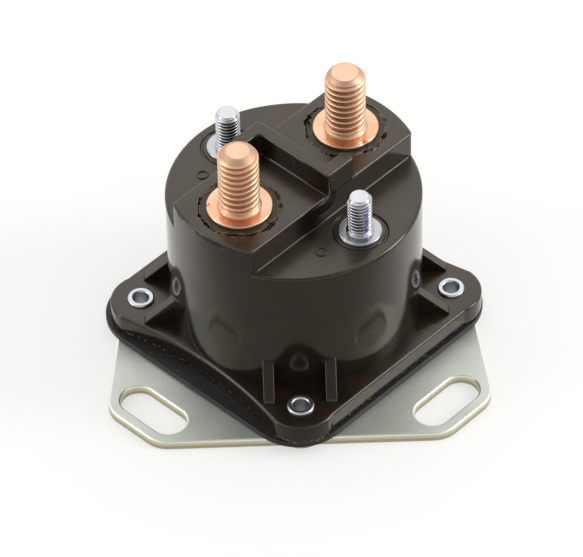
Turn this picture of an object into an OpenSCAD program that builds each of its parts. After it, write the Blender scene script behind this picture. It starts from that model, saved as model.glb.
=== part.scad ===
// Starter relay: a round moulded body on a four-cornered flange, riveted over a gasket to a
// steel plate with two slotted ears. Two copper studs and two small plated studs stand on its
// stepped top. Inside, a coil lifts a plunger whose rod carries the contact disc.
// The plate's underside is at Z 0, the ears point to -Y, and the body's axis is Z.

/* [Mounting plate] */
// Thickness of the steel plate
plate_t = 2; // [1.2:0.1:3]
// Distance from the body's axis to the middle line of each slot
slot_reach = 38.1; // [37:0.1:46]
// Distance that each slot is set back from its corner's diagonal, towards the rear
slot_setback = 2.4; // [0:0.1:4]
// End-to-end length of each slot
slot_length = 15.3; // [9:0.1:20]
// Width of each slot
slot_width = 7.1; // [4:0.1:8]
// Steel left outside each slot
ear_margin = 2.35; // [1.5:0.05:5]
// Radius of the plate's hidden lobes round the eyelets
plate_lobe_r = 4.3; // [3.4:0.1:6]

/* [Gasket] */
// Thickness of the rubber gasket
gasket_t = 1.2; // [0.6:0.1:3]
// How far the gasket's straight sides stand outside the flange's
gasket_lip = 1.7; // [0.3:0.1:2.5]
// Radius of the gasket's round corners
gasket_corner_r = 10.2; // [7:0.1:12]
// How far the gasket has crept to the left
gasket_creep_left = 0.4; // [0:0.05:0.5]
// How far the gasket has crept to the rear
gasket_creep_back = 0.9; // [0:0.05:1]

/* [Flange] */
// Thickness of the flange
flange_t = 4.3; // [3:0.1:8]
// Distance from the body's axis to the flange's straight sides; the body follows it
flange_half = 27.8; // [24:0.1:32]
// Depth of the hollow in the two curved sides, from where the corner circles end
side_hollow = 2.6; // [1:0.1:3]
// Radius of the flange's round corners
corner_r = 7; // [6:0.1:9]
// How far the corner circles swell over the straight sides
corner_swell = 0.27; // [0.1:0.01:0.6]
// Distance from the tip of each corner to the middle of its eyelet
eyelet_inset = 6.1; // [5:0.1:7]

/* [Ribs] */
// Thickness of each corner rib
rib_t = 2.2; // [1:0.1:3]
// Distance between the middles of a corner's two ribs
rib_spacing = 12.1; // [9:0.1:14]
// Height of the ribs where they meet the body
rib_rise = 6; // [3:0.1:10]
// How far the ribs' outer ends stop short of the eyelets' middles
rib_setback = 0.6; // [0:0.1:2]
// Height of the ribs at their outer ends
rib_toe = 0.4; // [0.2:0.1:1]

/* [Body] */
// Width of the flange outside the round body, at its straight sides
flange_margin = 2.8; // [2:0.1:4]
// Thickness of the body's wall
wall_t = 3; // [1.5:0.1:4]
// Height of the two low terminal floors above the flange
floor_h = 28.7; // [24:0.1:36]
// Thickness of the roof under the low floors
roof_t = 4.4; // [3:0.1:6]
// Height of the raised platform above the low floors
platform_rise = 5.8; // [3:0.1:9]
// Gap between the platform's straight walls and the small studs' collars
platform_gap = 2.71; // [1.5:0.01:3.5]
// Height of the barrier above the platform
barrier_rise = 5.1; // [2:0.1:10]
// Thickness of the barrier
barrier_t = 2.7; // [1.5:0.1:3.5]
// Gap between the barrier's side arms and the main studs' collars
barrier_gap = 2.37; // [1.5:0.01:4]
// Radius on the rim of the low floors
rim_r = 0.8; // [0.3:0.1:1.5]
// Radius on the rim of the platform
platform_rim_r = 0.5; // [0.2:0.1:1]

/* [Main studs] */
// Radius of the main studs
main_r = 3.97; // [3:0.01:4.5]
// Gap between the main studs' heads and the body's wall
main_head_gap = 1.9; // [1:0.1:2.5]
// Length of the main studs above their collars
main_length = 14; // [8:0.5:25]
// Radius of the main studs' collars
main_collar_r = 6.43; // [5.5:0.01:7]
// Thickness of the main studs' collars
main_collar_t = 0.8; // [0.5:0.1:2]
// Radius of the main studs' heads, inside the body
main_head_r = 5.2; // [4.8:0.1:5.6]

/* [Small studs] */
// Radius of the small studs
small_r = 2.41; // [1.8:0.01:2.8]
// Gap between the small studs' heads and the body's wall
small_head_gap = 0.94; // [0.5:0.02:1.5]
// Length of the small studs above their collars
small_length = 8.7; // [5:0.1:15]
// Radius of the small studs' collars
small_collar_r = 4.35; // [3.4:0.01:4.8]
// Thickness of the small studs' collars
small_collar_t = 0.7; // [0.4:0.1:1.5]
// Radius of the small studs' heads, inside the body
small_head_r = 3.6; // [3.2:0.1:4]

/* [Eyelets] */
// Radius of the hole through each eyelet
eyelet_bore_r = 1.55; // [1:0.05:1.7]
// Thickness of the eyelets' wall
eyelet_wall = 0.4; // [0.2:0.05:0.5]
// Radius of the eyelets' rolled rim
eyelet_rim_r = 2.7; // [2.5:0.05:3.4]
// Height of the eyelets' rolled rim
eyelet_rim_h = 0.6; // [0.3:0.1:1]

/* [Magnet] */
// Gap between the yoke's sides and the body's wall, along the yoke
yoke_gap = 5; // [4:0.1:6]
// Gap between the coil former's end flanges and the yoke's sides
former_gap = 0.8; // [0.3:0.1:2]
// Thickness of the coil former's tube and end flanges
former_t = 1.1; // [0.6:0.1:1.5]
// How far the winding stays inside the former's end flanges
coil_inset = 1; // [0.8:0.1:3]
// Thickness of the tape round the coil
tape_t = 0.35; // [0.1:0.05:0.5]
// Thickness of the yoke's strip
yoke_t = 1.5; // [1:0.1:1.8]
// Width of the yoke's strip
yoke_w = 16; // [13:0.5:17]
// Thickness of the pole plate
pole_t = 2; // [1.6:0.1:2.5]
// How far the pole plate's straight sides stand inside the former's edge
pole_inset = 3.2; // [2.5:0.1:7]
// Length of the fixed pole, from the pole plate's top down into the guide tube
pole_length = 4.2; // [3:0.1:5]
// Thickness of the brass guide tube
tube_t = 0.45; // [0.3:0.05:0.8]

/* [Plunger] */
// Radius of the plunger
plunger_r = 5.05; // [4.6:0.05:5.6]
// Travel of the plunger
stroke = 3; // [2:0.1:3.4]
// Further travel of the plunger after the disc has met the studs
overtravel = 0.6; // [0.2:0.1:0.8]
// Thickness of the fibre bumper
bumper_t = 0.8; // [0.4:0.1:1]
// Radius of the push rod
rod_r = 1.5; // [1:0.05:1.7]
// How far the contact disc's edge stays inside the main studs' middles
disc_inset = 1.9; // [1.5:0.1:3]
// Thickness of the contact disc
disc_t = 1.6; // [1:0.1:2]

/* [Springs] */
// Radius of the return spring's wire
return_wire_r = 0.3; // [0.2:0.05:0.35]
// Number of turns of the return spring
return_turns = 7; // [5:1:9]
// Radius of the contact spring's wire
contact_wire_r = 0.3; // [0.2:0.05:0.3]
// Number of turns of the contact spring
contact_turns = 3; // [2:1:3]

/* [Hidden] */
$fn = 96;
small_arc_facets = 32;
long_arc_facets = 384;
lead_facets = 8;
wire_facets = 6;
wire_steps = 16;

// Named clearances and overruns
running_gap = 0.08;
seat_gap = 0.05;
contact_gap = 0.05;
loose_gap = 0.3;
weld = 0.005;
over = 1;

// The body's working directions lie on the plate's diagonals
diagonal = 45;
left = -1;
right = 1;
sides = [left, right];
quarter_turn = 90;

// Heights, from the plate's underside up
gasket_z = plate_t;
flange_z = gasket_z + gasket_t;
flange_top = flange_z + flange_t;
floor_z = flange_top + floor_h;
platform_z = floor_z + platform_rise;
barrier_z = platform_z + barrier_rise;
ceiling_z = floor_z - roof_t;

// The body follows the flange, and the studs follow the body's wall
body_r = flange_half - flange_margin;
cavity_r = body_r - wall_t;
main_reach = cavity_r - main_head_gap - main_head_r;
small_reach = cavity_r - small_head_gap - small_head_r;
platform_w = 2 * (small_reach - small_collar_r - platform_gap);
barrier_reach = main_reach - main_collar_r - barrier_gap;

// What stands on the magnet, up to the roof's underside
seat_lift = 0.5;
seat_t = 0.7;
seat_r = 3.4;
contact_spring_h = 3;
bush_t = 1.6;
bush_r = 4.6;
bush_hub_r = 2.6;
washer_t = 0.8;
washer_r = 4.2;
clip_t = 0.6;
clip_r = 2.9;
rod_tip = 0.6;
headroom = 0.4;
bush_stack = seat_lift + seat_t + contact_spring_h + bush_t;
rod_stack = bush_stack + disc_t + washer_t + clip_t + rod_tip;

// The magnet stands on the plate and fills the height that is left
former_z = plate_t + yoke_t;
pole_top = ceiling_z - headroom - stroke - rod_stack;
pole_z = pole_top - pole_t;
coil_h = pole_z - former_z;
yoke_inside = 2 * (cavity_r - yoke_gap);
former_r = yoke_inside / 2 - former_gap;
coil_r = former_r - coil_inset;
pole_w = 2 * (former_r - pole_inset);
bend_r = 0.4;
tab_w = 5.4;
tube_bore_r = plunger_r + running_gap;
former_bore_r = tube_bore_r + tube_t + seat_gap;

// The plunger stands on its bumper, and its rod carries the disc
air_gap = 0.2;
pole_face = pole_top - pole_length;
plunger_z = plate_t + bumper_t;
plunger_top = pole_face - air_gap - stroke;
plunger_h = plunger_top - plunger_z;
spring_well_r = 3.1;
spring_well_share = 0.568;
spring_well_depth = spring_well_share * plunger_h;
spring_foot = plunger_top - spring_well_depth;
spring_mid_r = (spring_well_r + rod_r) / 2;
pole_web = 1.2;
spring_head = pole_top - pole_web;
rod_socket_share = 0.205;
rod_socket = rod_socket_share * plunger_h;
rod_foot = spring_foot - rod_socket;
seat_z = pole_top + seat_lift;
contact_spring_foot = seat_z + seat_t;
bush_z = contact_spring_foot + contact_spring_h;
disc_r = main_reach - disc_inset;
disc_z = pole_top + bush_stack;
disc_top = disc_z + disc_t;
clip_z = disc_top + washer_t;
rod_top = pole_top + rod_stack;

// The stud heads hang from the ceiling, down to where the lifted disc meets them
contact_z = disc_top + stroke - overtravel + contact_gap;
strip_t = 0.4;
small_head_z = contact_z + strip_t;
small_stub_r = 1.2;
small_stub_h = 0.8;
strip_ring_r = 2.6;
strip_root = 2;
finger_w = 3.6;
finger_lap = 1.8;
tag_w = 1.8;
tag_reach = 6;
lead_r = 0.4;
lead_bend = 1.2;
lead_gap = 0.25;
bead_r = 1;
bead_h = 0.7;

// Plain necks of the studs, and pilots at their tops as shares of the studs' radius
neck_step = 0.2;
main_pilot_share = 0.77;
main_pilot_h = 0.9;
small_pilot_share = 0.86;
small_pilot_h = 0.5;

// Grooves and a blank moulded ring on the terminal floors
main_groove_gap = 1.6;
main_groove_r = main_collar_r + main_groove_gap;
small_groove_gap = 0.95;
small_groove_r = small_collar_r + small_groove_gap;
groove_w = 0.5;
groove_depth = 0.3;
ring_r = 1.25;
ring_w = 0.35;
ring_h = 0.25;
ring_gap = 2.45;
ring_inset = 1.66;
ring_along = small_groove_r + ring_gap + ring_r;
ring_across = small_reach - ring_inset;

// Corners of the flange, as the middles of its corner circles
corner_mid = flange_half - corner_r + corner_swell;
corner_reach = corner_mid * sqrt(2) + corner_r;
eyelet_reach = corner_reach - eyelet_inset;
rib_reach = eyelet_reach - rib_setback;
gasket_half = flange_half + gasket_lip;
gasket_mid = gasket_half - gasket_corner_r;
gasket_hole_gap = 0.5;
eyelet_r = eyelet_bore_r + eyelet_wall;
hollow_r = (pow(corner_mid, 2) + pow(side_hollow, 2)) / (2 * side_hollow);
hollow_mid = corner_mid + corner_r - side_hollow + hollow_r;

// Ends of the slots' middle lines, and the plate's corner circles round them
slot_r = slot_width / 2;
slot_half = slot_length / 2 - slot_r;
ear_r = slot_r + ear_margin;

// Colours
phenolic = [0.2, 0.15, 0.12];
rubber = [0.08, 0.08, 0.08];
zinc = [0.74, 0.75, 0.73];
copper = [0.85, 0.52, 0.38];
steel = [0.55, 0.56, 0.58];
brass = [0.78, 0.64, 0.32];
fibre = [0.45, 0.32, 0.22];
amber = [0.62, 0.3, 0.12];
nylon = [0.85, 0.82, 0.72];

// A ring or washer that stands on Z 0
module washer(outer, inner, thick) {
    difference() {
        cylinder(r = outer, h = thick);
        translate([0, 0, -over]) cylinder(r = inner, h = thick + 2 * over);
    }
}

// Points where the outer tangent of two circles touches them, going anticlockwise.
// They lie a hair inside the circles, so that the joined outline has no slivers.
function tangent_pair(a, b) =
    let (
        d = [b[0] - a[0], b[1] - a[1]],
        len = norm(d),
        lean = asin((a[2] - b[2]) / len),
        way = atan2(d[1], d[0]) - quarter_turn + lean,
        a_r = a[2] - weld,
        b_r = b[2] - weld
    )
    [
        [a[0] + a_r * cos(way), a[1] + a_r * sin(way)],
        [b[0] + b_r * cos(way), b[1] + b_r * sin(way)]
    ];

// Convex outline that rounds each of the given circles, each [x, y, radius], anticlockwise
module rounded_outline(circles) {
    count = len(circles);
    pairs = [for (i = [0 : count - 1]) tangent_pair(circles[i], circles[(i + 1) % count])];
    polygon([for (pair = pairs) for (point = pair) point]);
    for (c = circles) translate([c[0], c[1]]) circle(r = c[2]);
}

// Square outline with round corners
module rounded_square(mid, r) {
    rounded_outline([[mid, -mid, r], [mid, mid, r], [-mid, mid, r], [-mid, -mid, r]]);
}

// Places its children at the four eyelets
module at_eyelets() {
    for (turn = [0 : 3]) rotate([0, 0, turn * quarter_turn]) translate([eyelet_reach, 0, 0]) children();
}

// Places its children at a main stud, or at a small stud, on the given side
module at_main(side) {
    rotate([0, 0, diagonal]) translate([side * main_reach, 0, 0]) children();
}

module at_small(side) {
    rotate([0, 0, diagonal]) translate([0, -side * small_reach, 0]) children();
}

// Flange: straight on two sides, hollow on the other two, with round corners that swell a little
module flange_plate() {
    linear_extrude(flange_t) rotate(diagonal) difference() {
        union() {
            square(2 * [corner_mid, flange_half], center = true);
            square(2 * [flange_half, corner_mid], center = true);
            for (x = sides, y = sides) translate(corner_mid * [x, y]) circle(r = corner_r);
        }
        for (side = sides) translate([side * hollow_mid, 0]) circle(r = hollow_r, $fn = long_arc_facets);
    }
}

// Body up to the given height, with a rounded rim
module body_drum(top, rim) {
    rotate_extrude() {
        square([body_r - rim, top]);
        square([body_r, top - rim]);
        translate([body_r - rim, top - rim]) circle(r = rim, $fn = small_arc_facets);
    }
}

// Straight band across the body that carries the main studs
module platform_band(bottom, top) {
    rotate([0, 0, diagonal]) translate([-body_r - over, -platform_w / 2, bottom])
        cube([2 * (body_r + over), platform_w, top - bottom]);
}

// Barrier between the main studs, with a side arm that shields each one from a small stud
module barrier() {
    foot = platform_z - over;
    rise = barrier_z - foot;
    rotate([0, 0, diagonal]) {
        translate([-barrier_t / 2, -platform_w / 2, foot]) cube([barrier_t, platform_w, rise]);
        for (turn = [0, 2 * quarter_turn]) rotate([0, 0, turn])
            translate([-barrier_t / 2, -platform_w / 2, foot])
                cube([barrier_reach + barrier_t / 2, barrier_t, rise]);
    }
}

// One triangular rib, along +X from inside the body's wall to its outer end
module rib() {
    root = body_r - wall_t / 2;
    meet = sqrt(pow(body_r, 2) - pow(rib_spacing / 2, 2));
    slope = (rib_rise - rib_toe) / (rib_reach - meet);
    translate([0, rib_t / 2, flange_top]) rotate([quarter_turn, 0, 0]) linear_extrude(rib_t)
        polygon([
            [root, -flange_t / 2],
            [rib_reach, -flange_t / 2],
            [rib_reach, rib_toe],
            [root, rib_toe + slope * (rib_reach - root)]
        ]);
}

module ribs() {
    for (turn = [0 : 3]) rotate([0, 0, turn * quarter_turn])
        for (side = sides) translate([0, side * rib_spacing / 2, 0]) rib();
}

// Shallow ring groove round a stud
module groove(r, top) {
    translate([0, 0, top - groove_depth]) washer(r + groove_w / 2, r - groove_w / 2, groove_depth + over);
}

// Blank moulded ring beside each small stud
module blank_rings() {
    for (side = sides) rotate([0, 0, diagonal])
        translate([-ring_along, -side * ring_across, floor_z - over])
            washer(ring_r, ring_r - ring_w, ring_h + over);
}

module housing() {
    color(phenolic) difference() {
        union() {
            translate([0, 0, flange_z]) flange_plate();
            translate([0, 0, flange_z]) body_drum(floor_z - flange_z, rim_r);
            intersection() {
                translate([0, 0, flange_z]) body_drum(platform_z - flange_z, platform_rim_r);
                platform_band(floor_z - over, platform_z + over);
            }
            barrier();
            ribs();
            blank_rings();
        }
        translate([0, 0, flange_z - over]) cylinder(r = cavity_r, h = ceiling_z - flange_z + over);
        at_eyelets() translate([0, 0, flange_z - over])
            cylinder(r = eyelet_r + seat_gap, h = flange_t + 2 * over);
        for (side = sides) {
            at_main(side) {
                translate([0, 0, ceiling_z - over])
                    cylinder(r = main_r + neck_step + seat_gap, h = platform_z - ceiling_z + 2 * over);
                groove(main_groove_r, platform_z);
            }
            at_small(side) {
                translate([0, 0, ceiling_z - over])
                    cylinder(r = small_r + neck_step + seat_gap, h = floor_z - ceiling_z + 2 * over);
                groove(small_groove_r, floor_z);
            }
        }
    }
}

module gasket() {
    color(rubber) translate([0, 0, gasket_z]) difference() {
        linear_extrude(gasket_t) translate([-gasket_creep_left, gasket_creep_back]) rotate(diagonal)
            rounded_square(gasket_mid, gasket_corner_r);
        translate([0, 0, -over]) cylinder(r = cavity_r + gasket_hole_gap, h = gasket_t + 2 * over);
        at_eyelets() translate([0, 0, -over]) cylinder(r = eyelet_r + seat_gap, h = gasket_t + 2 * over);
    }
}

// Middle of a slot's end circle, on the right or left ear; away is 1 at the outer end
function slot_end(side, away) =
    let (along = slot_setback + away * slot_half)
    [side * (slot_reach + along) / sqrt(2), (along - slot_reach) / sqrt(2)];

function ear_circle(side, away) =
    let (end = slot_end(side, away)) [end[0], end[1], ear_r];

module plate_outline() {
    rounded_outline([
        ear_circle(right, -1),
        ear_circle(right, 1),
        [eyelet_reach, 0, plate_lobe_r],
        [0, eyelet_reach, plate_lobe_r],
        [-eyelet_reach, 0, plate_lobe_r],
        ear_circle(left, 1),
        ear_circle(left, -1)
    ]);
    rounded_outline([[0, 0, plate_lobe_r], [0, -eyelet_reach, plate_lobe_r]]);
}

// Outline of the straight slot on one ear
module slot_outline(side) {
    rounded_outline([for (away = sides) [slot_end(side, away)[0], slot_end(side, away)[1], slot_r]]);
}

module mounting_plate() {
    sink = eyelet_rim_r - eyelet_r;
    color(zinc) difference() {
        linear_extrude(plate_t) difference() {
            plate_outline();
            for (side = sides) slot_outline(side);
        }
        at_eyelets() {
            translate([0, 0, -over]) cylinder(r = eyelet_r + seat_gap, h = plate_t + 2 * over);
            translate([0, 0, -seat_gap]) cylinder(r1 = eyelet_rim_r, r2 = eyelet_r, h = sink);
        }
    }
}

// Tubular eyelet: a rolled rim above, and a flare that lies flush in the plate's countersink
module eyelet() {
    flare = eyelet_rim_r - eyelet_r - seat_gap;
    edge = eyelet_rim_h / 2;
    rotate_extrude() polygon([
        [eyelet_bore_r, 0],
        [eyelet_r + flare - seat_gap, 0],
        [eyelet_r, flare],
        [eyelet_r, flange_top],
        [eyelet_rim_r, flange_top],
        [eyelet_rim_r, flange_top + edge],
        [eyelet_rim_r - edge, flange_top + eyelet_rim_h],
        [eyelet_bore_r + edge, flange_top + eyelet_rim_h],
        [eyelet_bore_r, flange_top + edge]
    ]);
}

module eyelets() {
    color(zinc) at_eyelets() eyelet();
}

// Stud with a head inside the body, a plain neck up to its collar's top, and a chamfered pilot
module stud(r, head_r, head_z, neck_top, top, pilot_r, pilot_h) {
    bevel = pilot_h / 3;
    neck_r = r + neck_step;
    rotate_extrude() polygon([
        [0, head_z],
        [head_r, head_z],
        [head_r, ceiling_z],
        [neck_r, ceiling_z],
        [neck_r, neck_top],
        [r, neck_top],
        [r, top - pilot_h - r + pilot_r],
        [pilot_r, top - pilot_h],
        [pilot_r, top - bevel],
        [pilot_r - bevel, top],
        [0, top]
    ]);
}

module main_stud(side) {
    seat = platform_z + main_collar_t;
    pilot_r = main_pilot_share * main_r;
    color(copper) at_main(side)
        stud(main_r, main_head_r, contact_z, seat, seat + main_length, pilot_r, main_pilot_h);
}

module main_collar(side) {
    color(copper) at_main(side) translate([0, 0, platform_z])
        washer(main_collar_r, main_r + neck_step + seat_gap, main_collar_t);
}

// Small stud with a riveted stub under its head, which holds a strip
module small_stud(side) {
    seat = floor_z + small_collar_t;
    pilot_r = small_pilot_share * small_r;
    color(zinc) at_small(side) {
        stud(small_r, small_head_r, small_head_z, seat, seat + small_length, pilot_r, small_pilot_h);
        translate([0, 0, contact_z - small_stub_h])
            cylinder(r = small_stub_r, h = small_stub_h + strip_t + over);
    }
}

module small_collar(side) {
    color(zinc) at_small(side) translate([0, 0, floor_z])
        washer(small_collar_r, small_r + neck_step + seat_gap, small_collar_t);
}

// Ring end of a strip, riveted on a small stud's stub
module strip_ring() {
    washer(strip_ring_r, small_stub_r + seat_gap, strip_t);
}

// Spring strip from the ignition stud to over the contact disc's edge
module contact_finger() {
    reach = small_reach - disc_r + finger_lap;
    color(copper) at_small(left) translate([0, 0, contact_z]) {
        strip_ring();
        translate([-finger_w / 2, -reach, 0]) cube([finger_w, reach - strip_root, strip_t]);
    }
}

// Solder tag on the start stud
module solder_tag() {
    color(brass) at_small(right) translate([0, 0, contact_z]) {
        strip_ring();
        translate([strip_root, -tag_w / 2, 0]) cube([tag_reach - strip_root, tag_w, strip_t]);
    }
}

// Upright channel outline with two round bottom corners
module channel_outline(half, foot, r, top) {
    translate([-half, foot + r]) square([2 * half, top - foot - r]);
    translate([-half + r, foot]) square([2 * (half - r), top - foot]);
    for (side = sides) translate([side * (half - r), foot + r]) circle(r = r, $fn = small_arc_facets);
}

// Steel strip bent up on both sides of the coil, with a tab at each top end
module yoke() {
    half = yoke_inside / 2;
    color(steel) rotate([0, 0, diagonal]) difference() {
        union() {
            translate([0, yoke_w / 2, 0]) rotate([quarter_turn, 0, 0]) linear_extrude(yoke_w) difference() {
                channel_outline(half + yoke_t, plate_t, bend_r + yoke_t, pole_z);
                channel_outline(half, plate_t + yoke_t, bend_r, pole_z + over);
            }
            for (side = sides)
                translate([side * (half + yoke_t / 2) - yoke_t / 2, -tab_w / 2, pole_z - over])
                    cube([yoke_t, tab_w, pole_t + over]);
        }
        translate([0, 0, plate_t - over]) cylinder(r = former_bore_r, h = yoke_t + 2 * over);
    }
}

// Pole plate on the yoke, with notches for its tabs and a neck down into the guide tube
module pole_plate() {
    half = yoke_inside / 2;
    color(steel) difference() {
        union() {
            rotate([0, 0, diagonal]) translate([0, 0, pole_z]) linear_extrude(pole_t) difference() {
                intersection() {
                    square([yoke_inside + 2 * yoke_t, pole_w], center = true);
                    circle(r = cavity_r - loose_gap);
                }
                for (side = sides) translate([side * (half + yoke_t), 0])
                    square([2 * (yoke_t + seat_gap), tab_w + 2 * seat_gap], center = true);
            }
            translate([0, 0, pole_face]) cylinder(r = plunger_r, h = pole_top - pole_face);
        }
        translate([0, 0, pole_face - over]) cylinder(r = spring_well_r, h = spring_head - pole_face + over);
        translate([0, 0, pole_z]) cylinder(r = rod_r + running_gap, h = pole_t + over);
    }
}

module coil_former() {
    color(nylon) translate([0, 0, former_z]) difference() {
        union() {
            cylinder(r = former_bore_r + former_t, h = coil_h);
            cylinder(r = former_r, h = former_t);
            translate([0, 0, coil_h - former_t]) cylinder(r = former_r, h = former_t);
        }
        translate([0, 0, -over]) cylinder(r = former_bore_r, h = coil_h + 2 * over);
    }
}

module coil_winding() {
    inner = former_bore_r + former_t + seat_gap;
    color(amber) translate([0, 0, former_z + former_t]) washer(coil_r, inner, coil_h - 2 * former_t);
}

module coil_tape() {
    color(fibre) translate([0, 0, former_z + former_t])
        washer(coil_r + seat_gap + tape_t, coil_r + seat_gap, coil_h - 2 * former_t);
}

module guide_tube() {
    color(brass) translate([0, 0, plate_t]) washer(tube_bore_r + tube_t, tube_bore_r, yoke_t + coil_h);
}

module bumper() {
    color(fibre) translate([0, 0, plate_t]) cylinder(r = plunger_r, h = bumper_t);
}

module plunger() {
    color(steel) difference() {
        translate([0, 0, plunger_z]) cylinder(r = plunger_r, h = plunger_h);
        translate([0, 0, spring_foot]) cylinder(r = spring_well_r, h = spring_well_depth + over);
        translate([0, 0, rod_foot]) cylinder(r = rod_r + seat_gap, h = rod_socket + over);
    }
}

module push_rod() {
    color(zinc) translate([0, 0, rod_foot]) cylinder(r = rod_r, h = rod_top - rod_foot);
}

module spring_seat() {
    color(steel) translate([0, 0, seat_z]) washer(seat_r, rod_r + seat_gap, seat_t);
}

module rod_clip() {
    color(steel) translate([0, 0, clip_z]) washer(clip_r, rod_r + seat_gap, clip_t);
}

module contact_disc() {
    color(copper) translate([0, 0, disc_z]) washer(disc_r, bush_hub_r + seat_gap, disc_t);
}

// Insulating bush that slides on the rod and carries the disc
module disc_bush() {
    color(fibre) difference() {
        union() {
            translate([0, 0, bush_z]) cylinder(r = bush_r, h = bush_t);
            translate([0, 0, bush_z]) cylinder(r = bush_hub_r, h = bush_t + disc_t);
        }
        translate([0, 0, bush_z - over]) cylinder(r = rod_r + running_gap, h = bush_t + disc_t + 2 * over);
    }
}

module disc_washer() {
    color(fibre) translate([0, 0, disc_top]) washer(washer_r, rod_r + running_gap, washer_t);
}

function unit(v) = v / norm(v);

// Directions along a route, one at each of its points
function route_ways(route) =
    let (last = len(route) - 1)
    [for (i = [0 : last]) unit(route[min(i + 1, last)] - route[max(i - 1, 0)])];

// Side directions that turn as little as possible from one point to the next
function route_sides(ways, first, i) =
    i == 0 ? [unit(first - (first * ways[0]) * ways[0])]
    : let (
        done = route_sides(ways, first, i - 1),
        last = done[i - 1]
    )
    concat(done, [unit(last - (last * ways[i]) * ways[i])]);

// Tube of the given radius along a route, with flat ends
module tube_along(route, r, first, facets) {
    ways = route_ways(route);
    count = len(route);
    across = route_sides(ways, first, count - 1);
    points = [
        for (i = [0 : count - 1])
            let (other = cross(ways[i], across[i]))
            for (k = [0 : facets - 1])
                let (angle = 4 * quarter_turn * k / facets)
                route[i] + r * (cos(angle) * across[i] + sin(angle) * other)
    ];
    walls = [
        for (i = [0 : count - 2]) for (k = [0 : facets - 1])
            let (next = (k + 1) % facets, low = i * facets, high = (i + 1) * facets)
            for (face = [[low + k, high + k, low + next], [low + next, high + k, high + next]]) face
    ];
    first_end = [[for (k = [0 : facets - 1]) k]];
    last_end = [[for (k = [facets - 1 : -1 : 0]) (count - 1) * facets + k]];
    polyhedron(points = points, faces = concat(first_end, walls, last_end));
}

// Coil spring between two heights
module coil_spring(foot, head, r, wire_r, turns) {
    last = wire_steps * turns;
    low = foot + wire_r;
    rise = head - foot - 2 * wire_r;
    route = [for (i = [0 : last])
        let (angle = 4 * quarter_turn * i / wire_steps)
        [r * cos(angle), r * sin(angle), low + rise * i / last]];
    tube_along(route, wire_r, [1, 0, 0], wire_facets);
}

module return_spring() {
    color(steel) coil_spring(spring_foot, spring_head, spring_mid_r, return_wire_r, return_turns);
}

module contact_spring() {
    color(steel) coil_spring(contact_spring_foot, bush_z, spring_mid_r, contact_wire_r, contact_turns);
}

// Wire from the solder tag down past the pole plate to the winding
module coil_lead() {
    out = former_r + 2 * lead_r;
    across = tag_reach - 2 * lead_r;
    drop = former_z + coil_h / 2;
    color(amber) rotate([0, 0, diagonal]) tube_along([
        [across, -small_reach, contact_z],
        [across, -small_reach, pole_top + lead_bend],
        [across, -out, pole_z - lead_bend],
        [across, -out, drop + lead_bend],
        [across, -out + lead_bend / 2, drop + lead_bend / 4],
        [across, -sqrt(pow(coil_r + tape_t + lead_gap, 2) - pow(across, 2)), drop]
    ], lead_r, [1, 0, 0], lead_facets);
}

// Wire from the winding down to the plate, with its solder bead
module ground_lead() {
    out = former_r + 2 * lead_r;
    start = former_z + coil_h / 2;
    color(amber) rotate([0, 0, diagonal]) {
        tube_along([
            [0, coil_r + tape_t + lead_gap, start],
            [0, out - lead_bend / 2, start - lead_bend / 4],
            [0, out, start - lead_bend],
            [0, out, plate_t + bead_h / 2]
        ], lead_r, [1, 0, 0], lead_facets);
        translate([0, out, plate_t]) cylinder(r1 = bead_r, r2 = bead_r / 2, h = bead_h);
    }
}

housing();
gasket();
mounting_plate();
eyelets();
main_stud(left);  // main_stud_left
main_stud(right);  // main_stud_right
main_collar(left);  // main_collar_left
main_collar(right);  // main_collar_right
small_stud(right);  // start_stud
small_stud(left);  // ignition_stud
small_collar(right);  // start_collar
small_collar(left);  // ignition_collar
yoke();
pole_plate();
coil_former();
coil_winding();
coil_tape();
guide_tube();
bumper();
plunger();
push_rod();
spring_seat();
rod_clip();
return_spring();
contact_disc();
disc_bush();
disc_washer();
contact_spring();
contact_finger();
solder_tag();
coil_lead();
ground_lead();
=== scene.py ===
import math

import bmesh
import bpy
import numpy as np
from bpy.props import FloatProperty, FloatVectorProperty, PointerProperty
from mathutils import Matrix, Vector
from mathutils.geometry import delaunay_2d_cdt


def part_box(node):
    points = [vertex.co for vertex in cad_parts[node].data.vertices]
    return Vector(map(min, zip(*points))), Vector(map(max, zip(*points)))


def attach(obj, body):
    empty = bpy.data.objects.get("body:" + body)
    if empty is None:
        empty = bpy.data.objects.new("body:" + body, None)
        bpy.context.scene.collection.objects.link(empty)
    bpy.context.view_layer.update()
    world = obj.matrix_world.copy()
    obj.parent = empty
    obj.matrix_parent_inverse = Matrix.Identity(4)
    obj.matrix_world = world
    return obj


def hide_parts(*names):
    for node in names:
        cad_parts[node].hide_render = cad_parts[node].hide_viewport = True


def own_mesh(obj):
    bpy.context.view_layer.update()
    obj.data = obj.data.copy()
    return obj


bl_info = {
    "name": "Starter relay",
    "version": (1, 0, 0),
    "blender": (4, 5, 0),
    "location": "View3D > Sidebar > Relay",
    "description": "Dresses the packed starter relay: moulding, plated steel and copper studs",
    "category": "Object",
}

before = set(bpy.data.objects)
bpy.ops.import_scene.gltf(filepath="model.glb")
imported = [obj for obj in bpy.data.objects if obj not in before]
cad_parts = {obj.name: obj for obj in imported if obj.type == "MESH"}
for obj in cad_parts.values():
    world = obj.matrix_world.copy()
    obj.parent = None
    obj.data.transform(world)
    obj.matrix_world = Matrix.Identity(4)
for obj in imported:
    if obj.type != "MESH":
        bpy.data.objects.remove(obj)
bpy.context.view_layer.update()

MM = 0.001
TURN = 2 * math.pi
NO_QUADS = np.zeros((0, 4), int)
NO_TRIANGLES = np.zeros((0, 3), int)

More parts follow.
